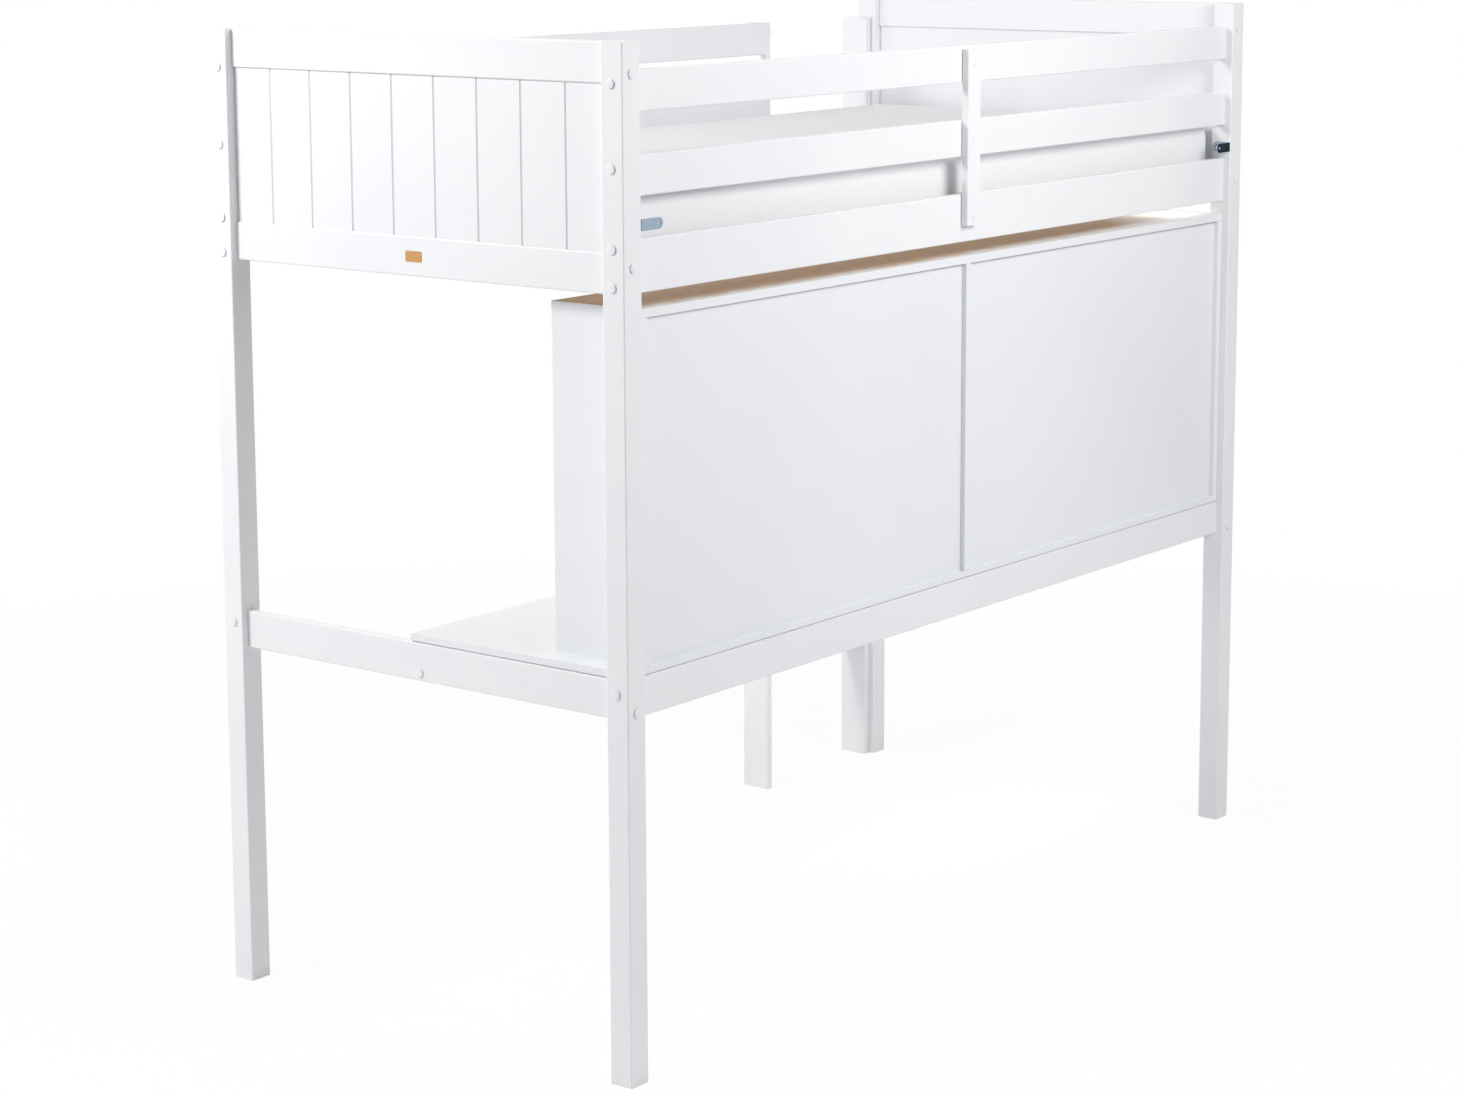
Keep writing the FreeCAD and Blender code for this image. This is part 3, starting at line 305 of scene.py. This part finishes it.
def woven_cover(name):
    """White cotton weave: two crossed sets of threads, slightly uneven, with a soft nap."""
    finish, tree, shader = new_finish(name)
    place = add_node(tree, "ShaderNodeTexCoord").outputs["Object"]
    uneven = add_node(tree, "ShaderNodeTexNoise", {"Vector": place, "Scale": 60.0, "Detail": 2.0}).outputs["Color"]
    drawn = add_node(tree, "ShaderNodeVectorMath", {0: uneven, 1: (0.0012, 0.0012, 0.0012)}, operation="MULTIPLY")
    bent = add_node(tree, "ShaderNodeVectorMath", {0: place, 1: drawn.outputs[0]}, operation="ADD").outputs[0]
    warp = add_node(tree, "ShaderNodeTexWave", {"Vector": bent, "Scale": 260.0, "Distortion": 0.0},
                    bands_direction="X").outputs["Fac"]
    weft = add_node(tree, "ShaderNodeTexWave", {"Vector": bent, "Scale": 260.0, "Distortion": 0.0},
                    bands_direction="DIAGONAL").outputs["Fac"]
    weave = result_of(tree, "MAXIMUM", warp, weft)
    clouds = add_node(tree, "ShaderNodeTexNoise", {"Vector": place, "Scale": 6.0, "Detail": 4.0}).outputs["Fac"]
    tone = blend_colours(tree, weave, (0.80, 0.795, 0.81, 1), (0.875, 0.87, 0.885, 1))
    tone = blend_colours(tree, spread(tree, clouds, 0.35, 0.65, 0.0, 0.10), tone, (0.80, 0.80, 0.82, 1))
    bump = add_node(tree, "ShaderNodeBump", {"Height": weave, "Strength": 0.3, "Distance": 0.0004})
    tree.links.new(tone, shader.inputs["Base Color"])
    tree.links.new(bump.outputs["Normal"], shader.inputs["Normal"])
    shader.inputs["Roughness"].default_value = 0.9
    shader.inputs["Specular IOR Level"].default_value = 0.2
    shader.inputs["Sheen Weight"].default_value = 0.15
    shader.inputs["Sheen Roughness"].default_value = 0.5
    return finish


mattress.data.materials.clear()
mattress.data.materials.append(woven_cover("woven_cover"))
mattress.data.shade_smooth()
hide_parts("mattress")
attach(mattress, "mattress")

# Desk. A laminated top, notched round the back posts, lies on the cross rails and is dowelled to a painted beam.
# White melamine is pressed onto both faces of the board and onto its edges.


def laminate(name):
    """White melamine board: a hard, faintly pebbled skin with a low, even gloss."""
    finish, tree, shader = new_finish(name)
    place = add_node(tree, "ShaderNodeTexCoord").outputs["Object"]
    pebbles = add_node(tree, "ShaderNodeTexVoronoi", {"Vector": place, "Scale": 420.0}).outputs["Distance"]
    clouds = add_node(tree, "ShaderNodeTexNoise", {"Vector": place, "Scale": 2.2, "Detail": 3.0}).outputs["Fac"]
    tone = blend_colours(tree, spread(tree, clouds, 0.3, 0.7, 0.0, 1.0),
                         (0.800, 0.812, 0.832, 1), (0.828, 0.836, 0.850, 1))
    bump = add_node(tree, "ShaderNodeBump", {"Height": pebbles, "Strength": 0.12, "Distance": 0.0002})
    tree.links.new(tone, shader.inputs["Base Color"])
    tree.links.new(spread(tree, pebbles, 0.0, 0.7, 0.34, 0.44), shader.inputs["Roughness"])
    tree.links.new(bump.outputs["Normal"], shader.inputs["Normal"])
    return finish


white_laminate = laminate("white_laminate")
dress(white_laminate, "desktop")
dress(long_paint, "desk_front_beam")

# Bookcase. Laminated boards dowelled together on the desktop, with thin backs let into grooves and loose shelves.
# The top's upper face, which nobody sees in use, is bare brown board; its edges are white.
dress(white_laminate, "bookcase_side_ladder_end", "bookcase_divider", "bookcase_side_plain_end",
      "bookcase_back_ladder_end", "bookcase_back_plain_end", "bookcase_shelf_ladder_end", "bookcase_shelf_plain_end")


def bare_topped_laminate(name, low, high):
    """White board whose upper face is bare pressed fibre. Painted light whitens that face in a ragged band along the
    back, and over all of it at the ladder end; a browner hairline runs along the back edge itself."""
    skin_depth = 0.0004
    finish, tree, shader = new_finish(name)
    place = add_node(tree, "ShaderNodeTexCoord").outputs["Object"]
    split = add_node(tree, "ShaderNodeSeparateXYZ", {"Vector": place}).outputs
    bare = result_of(tree, "GREATER_THAN", split["Z"], high[2] - skin_depth)
    flecks = add_node(tree, "ShaderNodeTexNoise", {"Vector": place, "Scale": 380.0, "Detail": 4.0}).outputs["Fac"]
    chips = add_node(tree, "ShaderNodeTexVoronoi", {
        "Vector": stretched(tree, place, "X", 110.0, 240.0), "Scale": 1.0}).outputs["Color"]
    chip = add_node(tree, "ShaderNodeSeparateColor", {"Color": chips}).outputs["Red"]
    brown = blend_colours(tree, chip, (0.60, 0.45, 0.325, 1), (0.70, 0.545, 0.405, 1))
    brown = blend_colours(tree, spread(tree, flecks, 0.45, 0.72, 0.0, 0.45), brown, (0.46, 0.315, 0.20, 1))
    from_back = result_of(tree, "SUBTRACT", high[1], split["Y"])
    cloud = add_node(tree, "ShaderNodeTexNoise", {"Vector": place, "Scale": 24.0, "Detail": 5.0}).outputs["Fac"]
    ragged = result_of(tree, "ADD", from_back, spread(tree, cloud, 0.3, 0.7, -0.008, 0.008))
    # Painted light: how far in from the back edge the bare face is whitened, widening towards the ladder end.
    painted_light_along_back = spread(tree, split["X"], low[0] + 0.40, low[0] + 1.10, 0.070, 0.036)
    painted_light_at_ladder_end = spread(tree, split["X"], low[0] + 0.34, low[0] + 0.14, 0.0, 0.30)
    drift = result_of(tree, "ADD", painted_light_along_back, painted_light_at_ladder_end)
    painted_light_share = add_node(tree, "ShaderNodeMapRange", {
        "Value": ragged, "From Min": 0.006, "From Max": drift, "To Min": 1.0, "To Max": 0.0},
        interpolation_type="SMOOTHSTEP").outputs["Result"]
    # A hairline along the back edge keeps some of the brown showing under the painted light.
    back_edge_hairline = spread(tree, from_back, 0.0006, 0.0016, 0.55, 0.0)
    painted_light_cover = result_of(tree, "SUBTRACT", painted_light_share, back_edge_hairline, use_clamp=True)
    # The pale colour laid over the bare fibre is painted light, not a coat of paint.
    top_tone = blend_colours(tree, painted_light_cover, brown, (0.83, 0.835, 0.845, 1))
    tone = blend_colours(tree, bare, (0.815, 0.825, 0.842, 1), top_tone)
    bump = add_node(tree, "ShaderNodeBump", {"Height": flecks, "Strength": 0.2, "Distance": 0.0003})
    tree.links.new(tone, shader.inputs["Base Color"])
    tree.links.new(spread(tree, bare, 0.0, 1.0, 0.4, 0.75), shader.inputs["Roughness"])
    tree.links.new(bump.outputs["Normal"], shader.inputs["Normal"])
    return finish


dress(bare_topped_laminate("bare_topped_board", *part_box("bookcase_top")), "bookcase_top")

# Wall brackets. Angles pressed from zinc-plated strip, with round ends, screwed to the inner sides of the posts.
# A hole in the free leg takes the screw that holds the bed to a wall.


def zinc_plate(name, grain):
    """Zinc plating with a blue tint: fine rolling lines and soft crystal patches."""
    finish, tree, shader = new_finish(name)
    place = add_node(tree, "ShaderNodeTexCoord").outputs["Object"]
    lines = add_node(tree, "ShaderNodeTexNoise", {
        "Vector": stretched(tree, place, grain, 60.0, 2600.0), "Scale": 1.0, "Detail": 2.0}).outputs["Fac"]
    patches = add_node(tree, "ShaderNodeTexVoronoi", {"Vector": place, "Scale": 180.0}).outputs["Color"]
    patch = add_node(tree, "ShaderNodeSeparateColor", {"Color": patches}).outputs["Green"]
    tone = blend_colours(tree, patch, (0.32, 0.41, 0.49, 1), (0.37, 0.46, 0.54, 1))
    bump = add_node(tree, "ShaderNodeBump", {"Height": lines, "Strength": 0.15, "Distance": 0.0002})
    tree.links.new(tone, shader.inputs["Base Color"])
    tree.links.new(spread(tree, lines, 0.3, 0.7, 0.16, 0.26), shader.inputs["Roughness"])
    tree.links.new(bump.outputs["Normal"], shader.inputs["Normal"])
    shader.inputs["Metallic"].default_value = 1.0
    return finish


zinc = zinc_plate("zinc_plate", "X")
dress(zinc, "wall_bracket_ladder_end", "wall_bracket_plain_end")

# Fastenings inside the wood. Zinc bolts run through the posts into barrel nuts in the rails, with beech dowels
# beside them; shelves lie on steel pins.
dress(zinc, "post_bolts", "board_bolts", "barrel_nuts", "shelf_pins")
beech = planed_pine("beech_dowel", grain="X", board_axis="Y", board_pitch=0.02, board_start=0.0)
dress(beech, "rail_dowels", "tread_dowels", "desk_dowels", "case_dowels")

# Caps. White moulded covers are pressed over the bolt heads, and smaller ones over the batten and tread screws.
# Each is a low dome with a thin rim that lies on the wood.


def seats(node):
    """Where each copy in a group of round fastenings lies: its two ends' radii and middles along its axis."""
    work = bmesh.new()
    work.from_mesh(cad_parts[node].data)
    bmesh.ops.remove_doubles(work, verts=work.verts, dist=1e-6)
    waiting = set(work.verts)
    found = []
    while waiting:
        island = {waiting.pop()}
        edge = list(island)
        while edge:
            for link in edge.pop().link_edges:
                for vert in link.verts:
                    if vert in waiting:
                        waiting.discard(vert)
                        island.add(vert)
                        edge.append(vert)
        points = np.array([vert.co for vert in island])
        low, high = points.min(axis=0), points.max(axis=0)
        centre = (low + high) / 2
        extent = high - low
        axis = min(range(3), key=lambda i: abs(extent[(i + 1) % 3] - extent[(i + 2) % 3]))
        radii = []
        for level in (low[axis], high[axis]):
            ring = points[np.abs(points[:, axis] - level) < 1e-5] - centre
            ring[:, axis] = 0
            radii.append(np.linalg.norm(ring, axis=1).max())
        found.append((axis, low, high, centre, radii))
    work.free()
    return found


def seat_points(name, spots):
    """A mesh of bare points with the way that each one faces."""
    mesh = bpy.data.meshes.new(name)
    mesh.from_pydata([spot for spot, facing in spots], [], [])
    facing = mesh.attributes.new("facing", "FLOAT_VECTOR", "POINT")
    facing.data.foreach_set("vector", [value for spot, way in spots for value in way])
    return show(name, mesh)


def shown_ends(node, depth, wide_end_shows):
    """Where each copy sits, that deep below the end that shows, and the way in which that end faces."""
    spots = []
    for axis, low, high, centre, radii in seats(node):
        sign = 1 if (radii[1] > radii[0] if wide_end_shows else radii[1] < radii[0]) else -1
        facing = np.zeros(3)
        facing[axis] = sign
        spot = centre.copy()
        spot[axis] = (high if sign > 0 else low)[axis] - sign * depth
        spots.append((spot, facing))
    return spots


def new_recipe(name, sizes):
    """An empty geometry tree with a named length input for each size."""
    tree = bpy.data.node_groups.new(name, "GeometryNodeTree")
    tree.interface.new_socket("Geometry", in_out="INPUT", socket_type="NodeSocketGeometry")
    for size, value in sizes.items():
        socket = tree.interface.new_socket(size, in_out="INPUT", socket_type="NodeSocketFloat")
        socket.default_value = value
        socket.subtype = "DISTANCE"
    tree.interface.new_socket("Geometry", in_out="OUTPUT", socket_type="NodeSocketGeometry")
    return tree, add_node(tree, "NodeGroupInput").outputs


def repeat_on_seats(tree, entry, shape, finish):
    """Puts a shape, made along +Z, on every seat and turns it the way that the seat faces."""
    facing = add_node(tree, "GeometryNodeInputNamedAttribute", {"Name": "facing"}, data_type="FLOAT_VECTOR")
    turned = add_node(tree, "FunctionNodeAlignRotationToVector", {"Vector": facing.outputs["Attribute"]}, axis="Z")
    placed = add_node(tree, "GeometryNodeInstanceOnPoints", {
        "Points": entry["Geometry"], "Instance": shape, "Rotation": turned.outputs["Rotation"]})
    solid = add_node(tree, "GeometryNodeRealizeInstances", {"Geometry": placed.outputs["Instances"]})
    painted = add_node(tree, "GeometryNodeSetMaterial", {"Geometry": solid.outputs["Geometry"], "Material": finish})
    add_node(tree, "NodeGroupOutput", {"Geometry": painted.outputs["Geometry"]})


def grown(piece, tree, sizes):
    """Runs a geometry tree on a piece with these sizes, and keeps the mesh that it makes."""
    modifier = piece.modifiers.new("copies", "NODES")
    modifier.node_group = tree
    sockets = {item.name: item.identifier for item in tree.interface.items_tree if item.in_out == "INPUT"}
    for size, value in sizes.items():
        modifier[sockets[size]] = value
    settled(piece)


def moulded_plastic(name):
    """White moulded plastic with a soft gloss and the faint flow marks of the mould."""
    finish, tree, shader = new_finish(name)
    place = add_node(tree, "ShaderNodeTexCoord").outputs["Object"]
    flow = add_node(tree, "ShaderNodeTexNoise", {"Vector": place, "Scale": 240.0, "Detail": 3.0}).outputs["Fac"]
    tone = blend_colours(tree, flow, (0.80, 0.81, 0.825, 1), (0.85, 0.855, 0.865, 1))
    bump = add_node(tree, "ShaderNodeBump", {"Height": flow, "Strength": 0.08, "Distance": 0.0002})
    tree.links.new(tone, shader.inputs["Base Color"])
    tree.links.new(spread(tree, flow, 0.3, 0.7, 0.26, 0.36), shader.inputs["Roughness"])
    tree.links.new(bump.outputs["Normal"], shader.inputs["Normal"])
    return finish


def dome_recipe(name, finish):
    """A low dome with a steep wall: the upper half of a ball, filled out, over a foot that is hollowed underneath."""
    fullness = 0.25
    tree, entry = new_recipe(name, {"Cap Radius": 0.0085, "Cap Height": 0.003, "Rim Height": 0.0006})
    ball = add_node(tree, "GeometryNodeMeshUVSphere", {"Segments": 32, "Rings": 24, "Radius": 1.0})
    place = add_node(tree, "GeometryNodeInputPosition").outputs[0]
    split = add_node(tree, "ShaderNodeSeparateXYZ", {"Vector": place})
    above = result_of(tree, "MAXIMUM", split.outputs["Z"], 0.0)
    fuller = result_of(tree, "POWER", above, fullness)
    rise = result_of(tree, "SUBTRACT", entry["Cap Height"], entry["Rim Height"])
    domed = result_of(tree, "MULTIPLY", fuller, rise)
    below = result_of(tree, "MINIMUM", split.outputs["Z"], 0.0)
    foot = result_of(tree, "ADD", below, 1.0)
    rim = result_of(tree, "MULTIPLY", foot, entry["Rim Height"])
    level = result_of(tree, "ADD", domed, rim)
    along = result_of(tree, "MULTIPLY", split.outputs["X"], entry["Cap Radius"])
    across = result_of(tree, "MULTIPLY", split.outputs["Y"], entry["Cap Radius"])
    pressed = add_node(tree, "ShaderNodeCombineXYZ", {"X": along, "Y": across, "Z": level}).outputs[0]
    dome = add_node(tree, "GeometryNodeSetPosition", {"Geometry": ball.outputs["Mesh"], "Position": pressed})
    smooth = add_node(tree, "GeometryNodeSetShadeSmooth", {"Geometry": dome.outputs[0]})
    repeat_on_seats(tree, entry, smooth.outputs[0], finish)
    return tree


cap_plastic = moulded_plastic("cap_plastic")
dome = dome_recipe("cap_domes", cap_plastic)
CAP_RADIUS_AND_HEIGHT = {"bolt_caps": (0.0085, 0.003), "screw_caps": (0.005, 0.0012)}
RIM_SHARE = 0.22
for node, (radius, height) in CAP_RADIUS_AND_HEIGHT.items():
    caps = seat_points(f"{node}_domed", shown_ends(node, height, wide_end_shows=False))
    grown(caps, dome, {"Cap Radius": radius, "Cap Height": height, "Rim Height": height * RIM_SHARE})
    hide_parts(node)
    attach(caps, "frame")

# Plugs. Flat white plugs close the holes through which the barrel nuts were put into the rails.
# They are pressed in from the side that looks into the bed.
PLUG_SIZES = {"Cap Radius": 0.0062, "Cap Height": 0.0007, "Rim Height": 0.0001}
MIDDLE_REACH = 0.1
guard_low, guard_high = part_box("back_upper_guard_rail")
half_rail = (guard_high[1] - guard_low[1]) / 2
plug_spots = []
for axis, low, high, centre, radii in seats("barrel_nuts"):
    facing = np.zeros(3)
    facing[axis] = 1 if abs(centre[axis]) < MIDDLE_REACH else -np.sign(centre[axis])
    plug_spots.append((centre + facing * half_rail, facing))
plugs = seat_points("nut_hole_plugs", plug_spots)
grown(plugs, dome, PLUG_SIZES)
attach(plugs, "frame")

# Screws. Zinc countersunk screws with a cross recess hold the slats, ledges, stiles, treads, batten and brackets.
# All have the same pressed head; those in the ladder have a longer shank.
SCREW_HEAD_HEIGHT = 0.0025
SHORT_SHANK = 0.026
LONG_SHANK = 0.05


def screw_recipe(name, finish):
    """A flat head with a cross cut into it, on a plain shank that goes down from the seat."""
    tree, entry = new_recipe(name, {
        "Head Radius": 0.004, "Head Height": SCREW_HEAD_HEIGHT, "Shank Radius": 0.002, "Shank Length": SHORT_SHANK,
        "Cross Width": 0.0011, "Cross Depth": 0.0016})
    head = add_node(tree, "GeometryNodeMeshCylinder", {
        "Vertices": 24, "Radius": entry["Head Radius"], "Depth": entry["Head Height"]})
    half_head = result_of(tree, "MULTIPLY", entry["Head Height"], 0.5)
    up = add_node(tree, "ShaderNodeCombineXYZ", {"Z": half_head}).outputs[0]
    head_up = add_node(tree, "GeometryNodeTransform", {"Geometry": head.outputs["Mesh"], "Translation": up}).outputs[0]
    arm_length = result_of(tree, "MULTIPLY", entry["Head Radius"], 1.25)
    deep = result_of(tree, "MULTIPLY", entry["Cross Depth"], 2.0)
    top = add_node(tree, "ShaderNodeCombineXYZ", {"Z": entry["Head Height"]}).outputs[0]
    arms = []
    for first, second in ((arm_length, entry["Cross Width"]), (entry["Cross Width"], arm_length)):
        size = add_node(tree, "ShaderNodeCombineXYZ", {"X": first, "Y": second, "Z": deep}).outputs[0]
        arm = add_node(tree, "GeometryNodeMeshCube", {"Size": size})
        arms.append(add_node(tree, "GeometryNodeTransform", {
            "Geometry": arm.outputs["Mesh"], "Translation": top}).outputs[0])
    cut = add_node(tree, "GeometryNodeMeshBoolean", operation="DIFFERENCE")
    tree.links.new(head_up, cut.inputs["Mesh 1"])
    for arm in arms:
        tree.links.new(arm, cut.inputs["Mesh 2"])
    shank = add_node(tree, "GeometryNodeMeshCylinder", {
        "Vertices": 16, "Radius": entry["Shank Radius"], "Depth": entry["Shank Length"]})
    down = result_of(tree, "MULTIPLY", entry["Shank Length"], -0.5)
    below = add_node(tree, "ShaderNodeCombineXYZ", {"Z": down}).outputs[0]
    shank_down = add_node(tree, "GeometryNodeTransform", {"Geometry": shank.outputs["Mesh"], "Translation": below})
    whole = add_node(tree, "GeometryNodeJoinGeometry")
    tree.links.new(cut.outputs["Mesh"], whole.inputs[0])
    tree.links.new(shank_down.outputs[0], whole.inputs[0])
    repeat_on_seats(tree, entry, whole.outputs[0], finish)
    return tree


screw_shape = screw_recipe("cross_screws", zinc)
for node, length in (("slat_screws", SHORT_SHANK), ("ledge_screws", SHORT_SHANK), ("batten_screws", SHORT_SHANK),
                     ("bracket_screws", SHORT_SHANK), ("stile_screws", LONG_SHANK), ("tread_screws", LONG_SHANK)):
    screws = seat_points(f"{node}_crossed", shown_ends(node, SCREW_HEAD_HEIGHT, wide_end_shows=True))
    grown(screws, screw_shape, {"Shank Length": length})
    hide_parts(node)
    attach(screws, "frame")

# Plaque. A small blank tag of tan veneer with softened corners is glued to the middle of the plain end.
# It is stamped out with the grain along it, and sealed with a dull clear coat.
PLAQUE_CORNER = 0.0022
PLAQUE_EDGE = 0.0003


def tan_veneer(name):
    finish, tree, shader = new_finish(name)
    place = add_node(tree, "ShaderNodeTexCoord").outputs["Object"]
    grain = add_node(tree, "ShaderNodeTexNoise", {
        "Vector": stretched(tree, place, "Y", 40.0, 900.0), "Scale": 1.0, "Detail": 4.0}).outputs["Fac"]
    tone = blend_colours(tree, spread(tree, grain, 0.3, 0.7, 0.0, 1.0), (0.50, 0.25, 0.07, 1), (0.62, 0.34, 0.11, 1))
    bump = add_node(tree, "ShaderNodeBump", {"Height": grain, "Strength": 0.2, "Distance": 0.0002})
    tree.links.new(tone, shader.inputs["Base Color"])
    tree.links.new(spread(tree, grain, 0.3, 0.7, 0.40, 0.55), shader.inputs["Roughness"])
    tree.links.new(bump.outputs["Normal"], shader.inputs["Normal"])
    return finish


plaque_low, plaque_high = [Vector(corner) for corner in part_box("blank_plaque")]
plaque_mesh = bpy.data.meshes.new("plaque_veneer")
work = bmesh.new()
bmesh.ops.create_cube(work, size=1.0, matrix=Matrix.Translation((plaque_low + plaque_high) / 2)
                      @ Matrix.Diagonal((*(plaque_high - plaque_low), 1.0)))
short_edges = [edge for edge in work.edges if abs(edge.verts[0].co.x - edge.verts[1].co.x) > 1e-5]
bmesh.ops.bevel(work, geom=short_edges, offset=PLAQUE_CORNER, segments=5, affect="EDGES", profile=0.5)
face_edges = [edge for edge in work.edges if all(abs(vert.co.x - plaque_high.x) < 1e-6 for vert in edge.verts)]
bmesh.ops.bevel(work, geom=face_edges, offset=PLAQUE_EDGE, segments=2, affect="EDGES", profile=0.5)
work.to_mesh(plaque_mesh)
work.free()
plaque = show("plaque_veneer", plaque_mesh)
plaque.data.materials.append(tan_veneer("tan_veneer"))
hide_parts("blank_plaque")
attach(plaque, "frame")

# Studio. A wide white floor that keeps a faint shadow round the feet, and an even sky over it.
# Broad lamps stand off the plain end, the wall side and the open side and hang overhead; small ones under the bed
# light the desk, the bookcase's top and the feet.
FLOOR_REACH = 60
SHADOW_REACH = 1.3
WHITE_REACH = 3.6
SHADOW_WHITENESS = 0.94


def flat_sheet(name, corners):
    mesh = bpy.data.meshes.new(name)
    mesh.from_pydata(corners, [], [(0, 1, 2, 3)])
    return show(name, mesh)


floor = flat_sheet("studio_floor", [(-FLOOR_REACH, -FLOOR_REACH, 0), (FLOOR_REACH, -FLOOR_REACH, 0),
                                    (FLOOR_REACH, FLOOR_REACH, 0), (-FLOOR_REACH, FLOOR_REACH, 0)])
floor_finish = bpy.data.materials.new("pale_floor")
floor_finish.use_nodes = True
floor_tree = floor_finish.node_tree
floor_tree.nodes.clear()


def shown_rays(tree):
    """1 for what the camera sees straight or in a shine, 0 for the light that falls on the object."""
    rays = add_node(tree, "ShaderNodeLightPath").outputs
    shine = result_of(tree, "MAXIMUM", rays["Is Glossy Ray"], rays["Is Transmission Ray"])
    return result_of(tree, "MAXIMUM", rays["Is Camera Ray"], shine)


floor_place = add_node(floor_tree, "ShaderNodeTexCoord").outputs["Object"]
from_middle = add_node(floor_tree, "ShaderNodeVectorMath", {0: floor_place}, operation="LENGTH").outputs["Value"]
whiteness = spread(floor_tree, from_middle, SHADOW_REACH, WHITE_REACH, SHADOW_WHITENESS, 1.0)
shown = result_of(floor_tree, "MULTIPLY", shown_rays(floor_tree), whiteness)
matte = add_node(floor_tree, "ShaderNodeBsdfDiffuse", {"Color": (0.84, 0.84, 0.85, 1)})
glow = add_node(floor_tree, "ShaderNodeEmission", {"Color": (1, 1, 1, 1), "Strength": 1.0})
both = add_node(floor_tree, "ShaderNodeMixShader", {"Fac": shown})
floor_tree.links.new(matte.outputs[0], both.inputs[1])
floor_tree.links.new(glow.outputs[0], both.inputs[2])
add_node(floor_tree, "ShaderNodeOutputMaterial", {"Surface": both.outputs[0]})
floor.data.materials.append(floor_finish)

world = bpy.data.worlds.new("studio_sky")
bpy.context.scene.world = world
world.use_nodes = True
sky_tree = world.node_tree
sky_tree.nodes.clear()
even = add_node(sky_tree, "ShaderNodeBackground", {"Color": (0.97, 0.985, 1.0, 1), "Strength": 0.48})
white = add_node(sky_tree, "ShaderNodeBackground", {"Color": (1, 1, 1, 1), "Strength": 1.0})
sky = add_node(sky_tree, "ShaderNodeMixShader", {"Fac": shown_rays(sky_tree)})
sky_tree.links.new(even.outputs[0], sky.inputs[1])
sky_tree.links.new(white.outputs[0], sky.inputs[2])
add_node(sky_tree, "ShaderNodeOutputWorld", {"Surface": sky.outputs[0]})


def soft_lamp(name, place, target, width, height, power):
    lamp = bpy.data.lights.new(name, "AREA")
    lamp.shape = "RECTANGLE"
    lamp.size = width
    lamp.size_y = height
    lamp.energy = power
    holder = bpy.data.objects.new(name, lamp)
    holder.location = place
    holder.rotation_euler = (Vector(target) - Vector(place)).to_track_quat("-Z", "Y").to_euler()
    holder.visible_camera = False
    bpy.context.scene.collection.objects.link(holder)


soft_lamp("end_lamp", place=(3.4, -1.4, 3.2), target=(1.03, 0.0, 1.4), width=1.0, height=1.0, power=90)
soft_lamp("side_lamp", place=(0.0, 2.6, 2.5), target=(0.0, 0.5, 1.25), width=1.4, height=1.0, power=43)
soft_lamp("top_lamp", place=(0.3, 0.4, 4.4), target=(0.2, 0.0, 1.0), width=3.0, height=2.0, power=6)
soft_lamp("front_lamp", place=(0.9, -2.6, 1.5), target=(0.5, 0.0, 0.75), width=1.6, height=1.0, power=18)
soft_lamp("desk_lamp", place=(0.45, -0.1, 1.40), target=(0.45, -0.1, 0.7), width=0.6, height=0.4, power=1.4)
soft_lamp("case_lamp", place=(0.0, 0.36, 1.404), target=(0.0, 0.36, 1.0), width=1.96, height=0.12, power=0.26)
soft_lamp("case_end_lamp", place=(-0.92, 0.38, 1.402), target=(-0.92, 0.38, 1.0), width=0.14, height=0.14, power=0.09)
soft_lamp("foot_lamp", place=(-0.75, 0.34, 0.40), target=(-0.75, -0.5, 0.25), width=0.8, height=0.3, power=2.0)

# Dark screens. A tall matt one stands on the camera's side of the room, and draws a fine dark line along edges and
# caps that face it. A black card beyond the ladder end shows only in shines, and darkens that end's wall bracket.


def dark_paper(name, tone):
    finish = bpy.data.materials.new(name)
    finish.use_nodes = True
    finish.node_tree.nodes["Principled BSDF"].inputs["Base Color"].default_value = tone
    return finish


room = flat_sheet("dark_room", [(11.0, 2.0, 0.05), (4.0, 11.0, 0.05), (4.0, 11.0, 7.0), (11.0, 2.0, 7.0)])
room.data.materials.append(dark_paper("dark_wall", (0.02, 0.02, 0.02, 1)))
room.visible_camera = room.visible_transmission = False

card = flat_sheet("dark_card", [(-3.6, 0.9, 0.2), (-3.6, 3.0, 0.2), (-3.6, 3.0, 2.2), (-3.6, 0.9, 2.2)])
card.data.materials.append(dark_paper("black_card", (0.012, 0.013, 0.014, 1)))
card.visible_camera = card.visible_diffuse = card.visible_shadow = card.visible_transmission = False

# Camera. It stands off the corner of the wall side and the plain end, a little higher than the posts, with a long
# lens that is tilted down at the bed and shifted slightly to frame it.
SENSOR_WIDTH = 36.0
PHOTO_WIDTH = 1460.0
LENS_IN_PHOTO_PIXELS = 3233.6
camera = bpy.data.cameras.new("photo_camera")
camera.sensor_width = SENSOR_WIDTH
camera.lens = LENS_IN_PHOTO_PIXELS / PHOTO_WIDTH * SENSOR_WIDTH
camera.shift_x = -0.0072
camera.shift_y = -0.09
camera.clip_end = 300.0
eye = bpy.data.objects.new("photo_camera", camera)
eye.location = (5.1478, 3.9075, 2.0518)
eye.rotation_euler = (math.radians(80.679), math.radians(0.211), math.radians(127.562))
bpy.context.scene.collection.objects.link(eye)
bpy.context.scene.camera = eye
bpy.context.scene.view_settings.view_transform = "Standard"
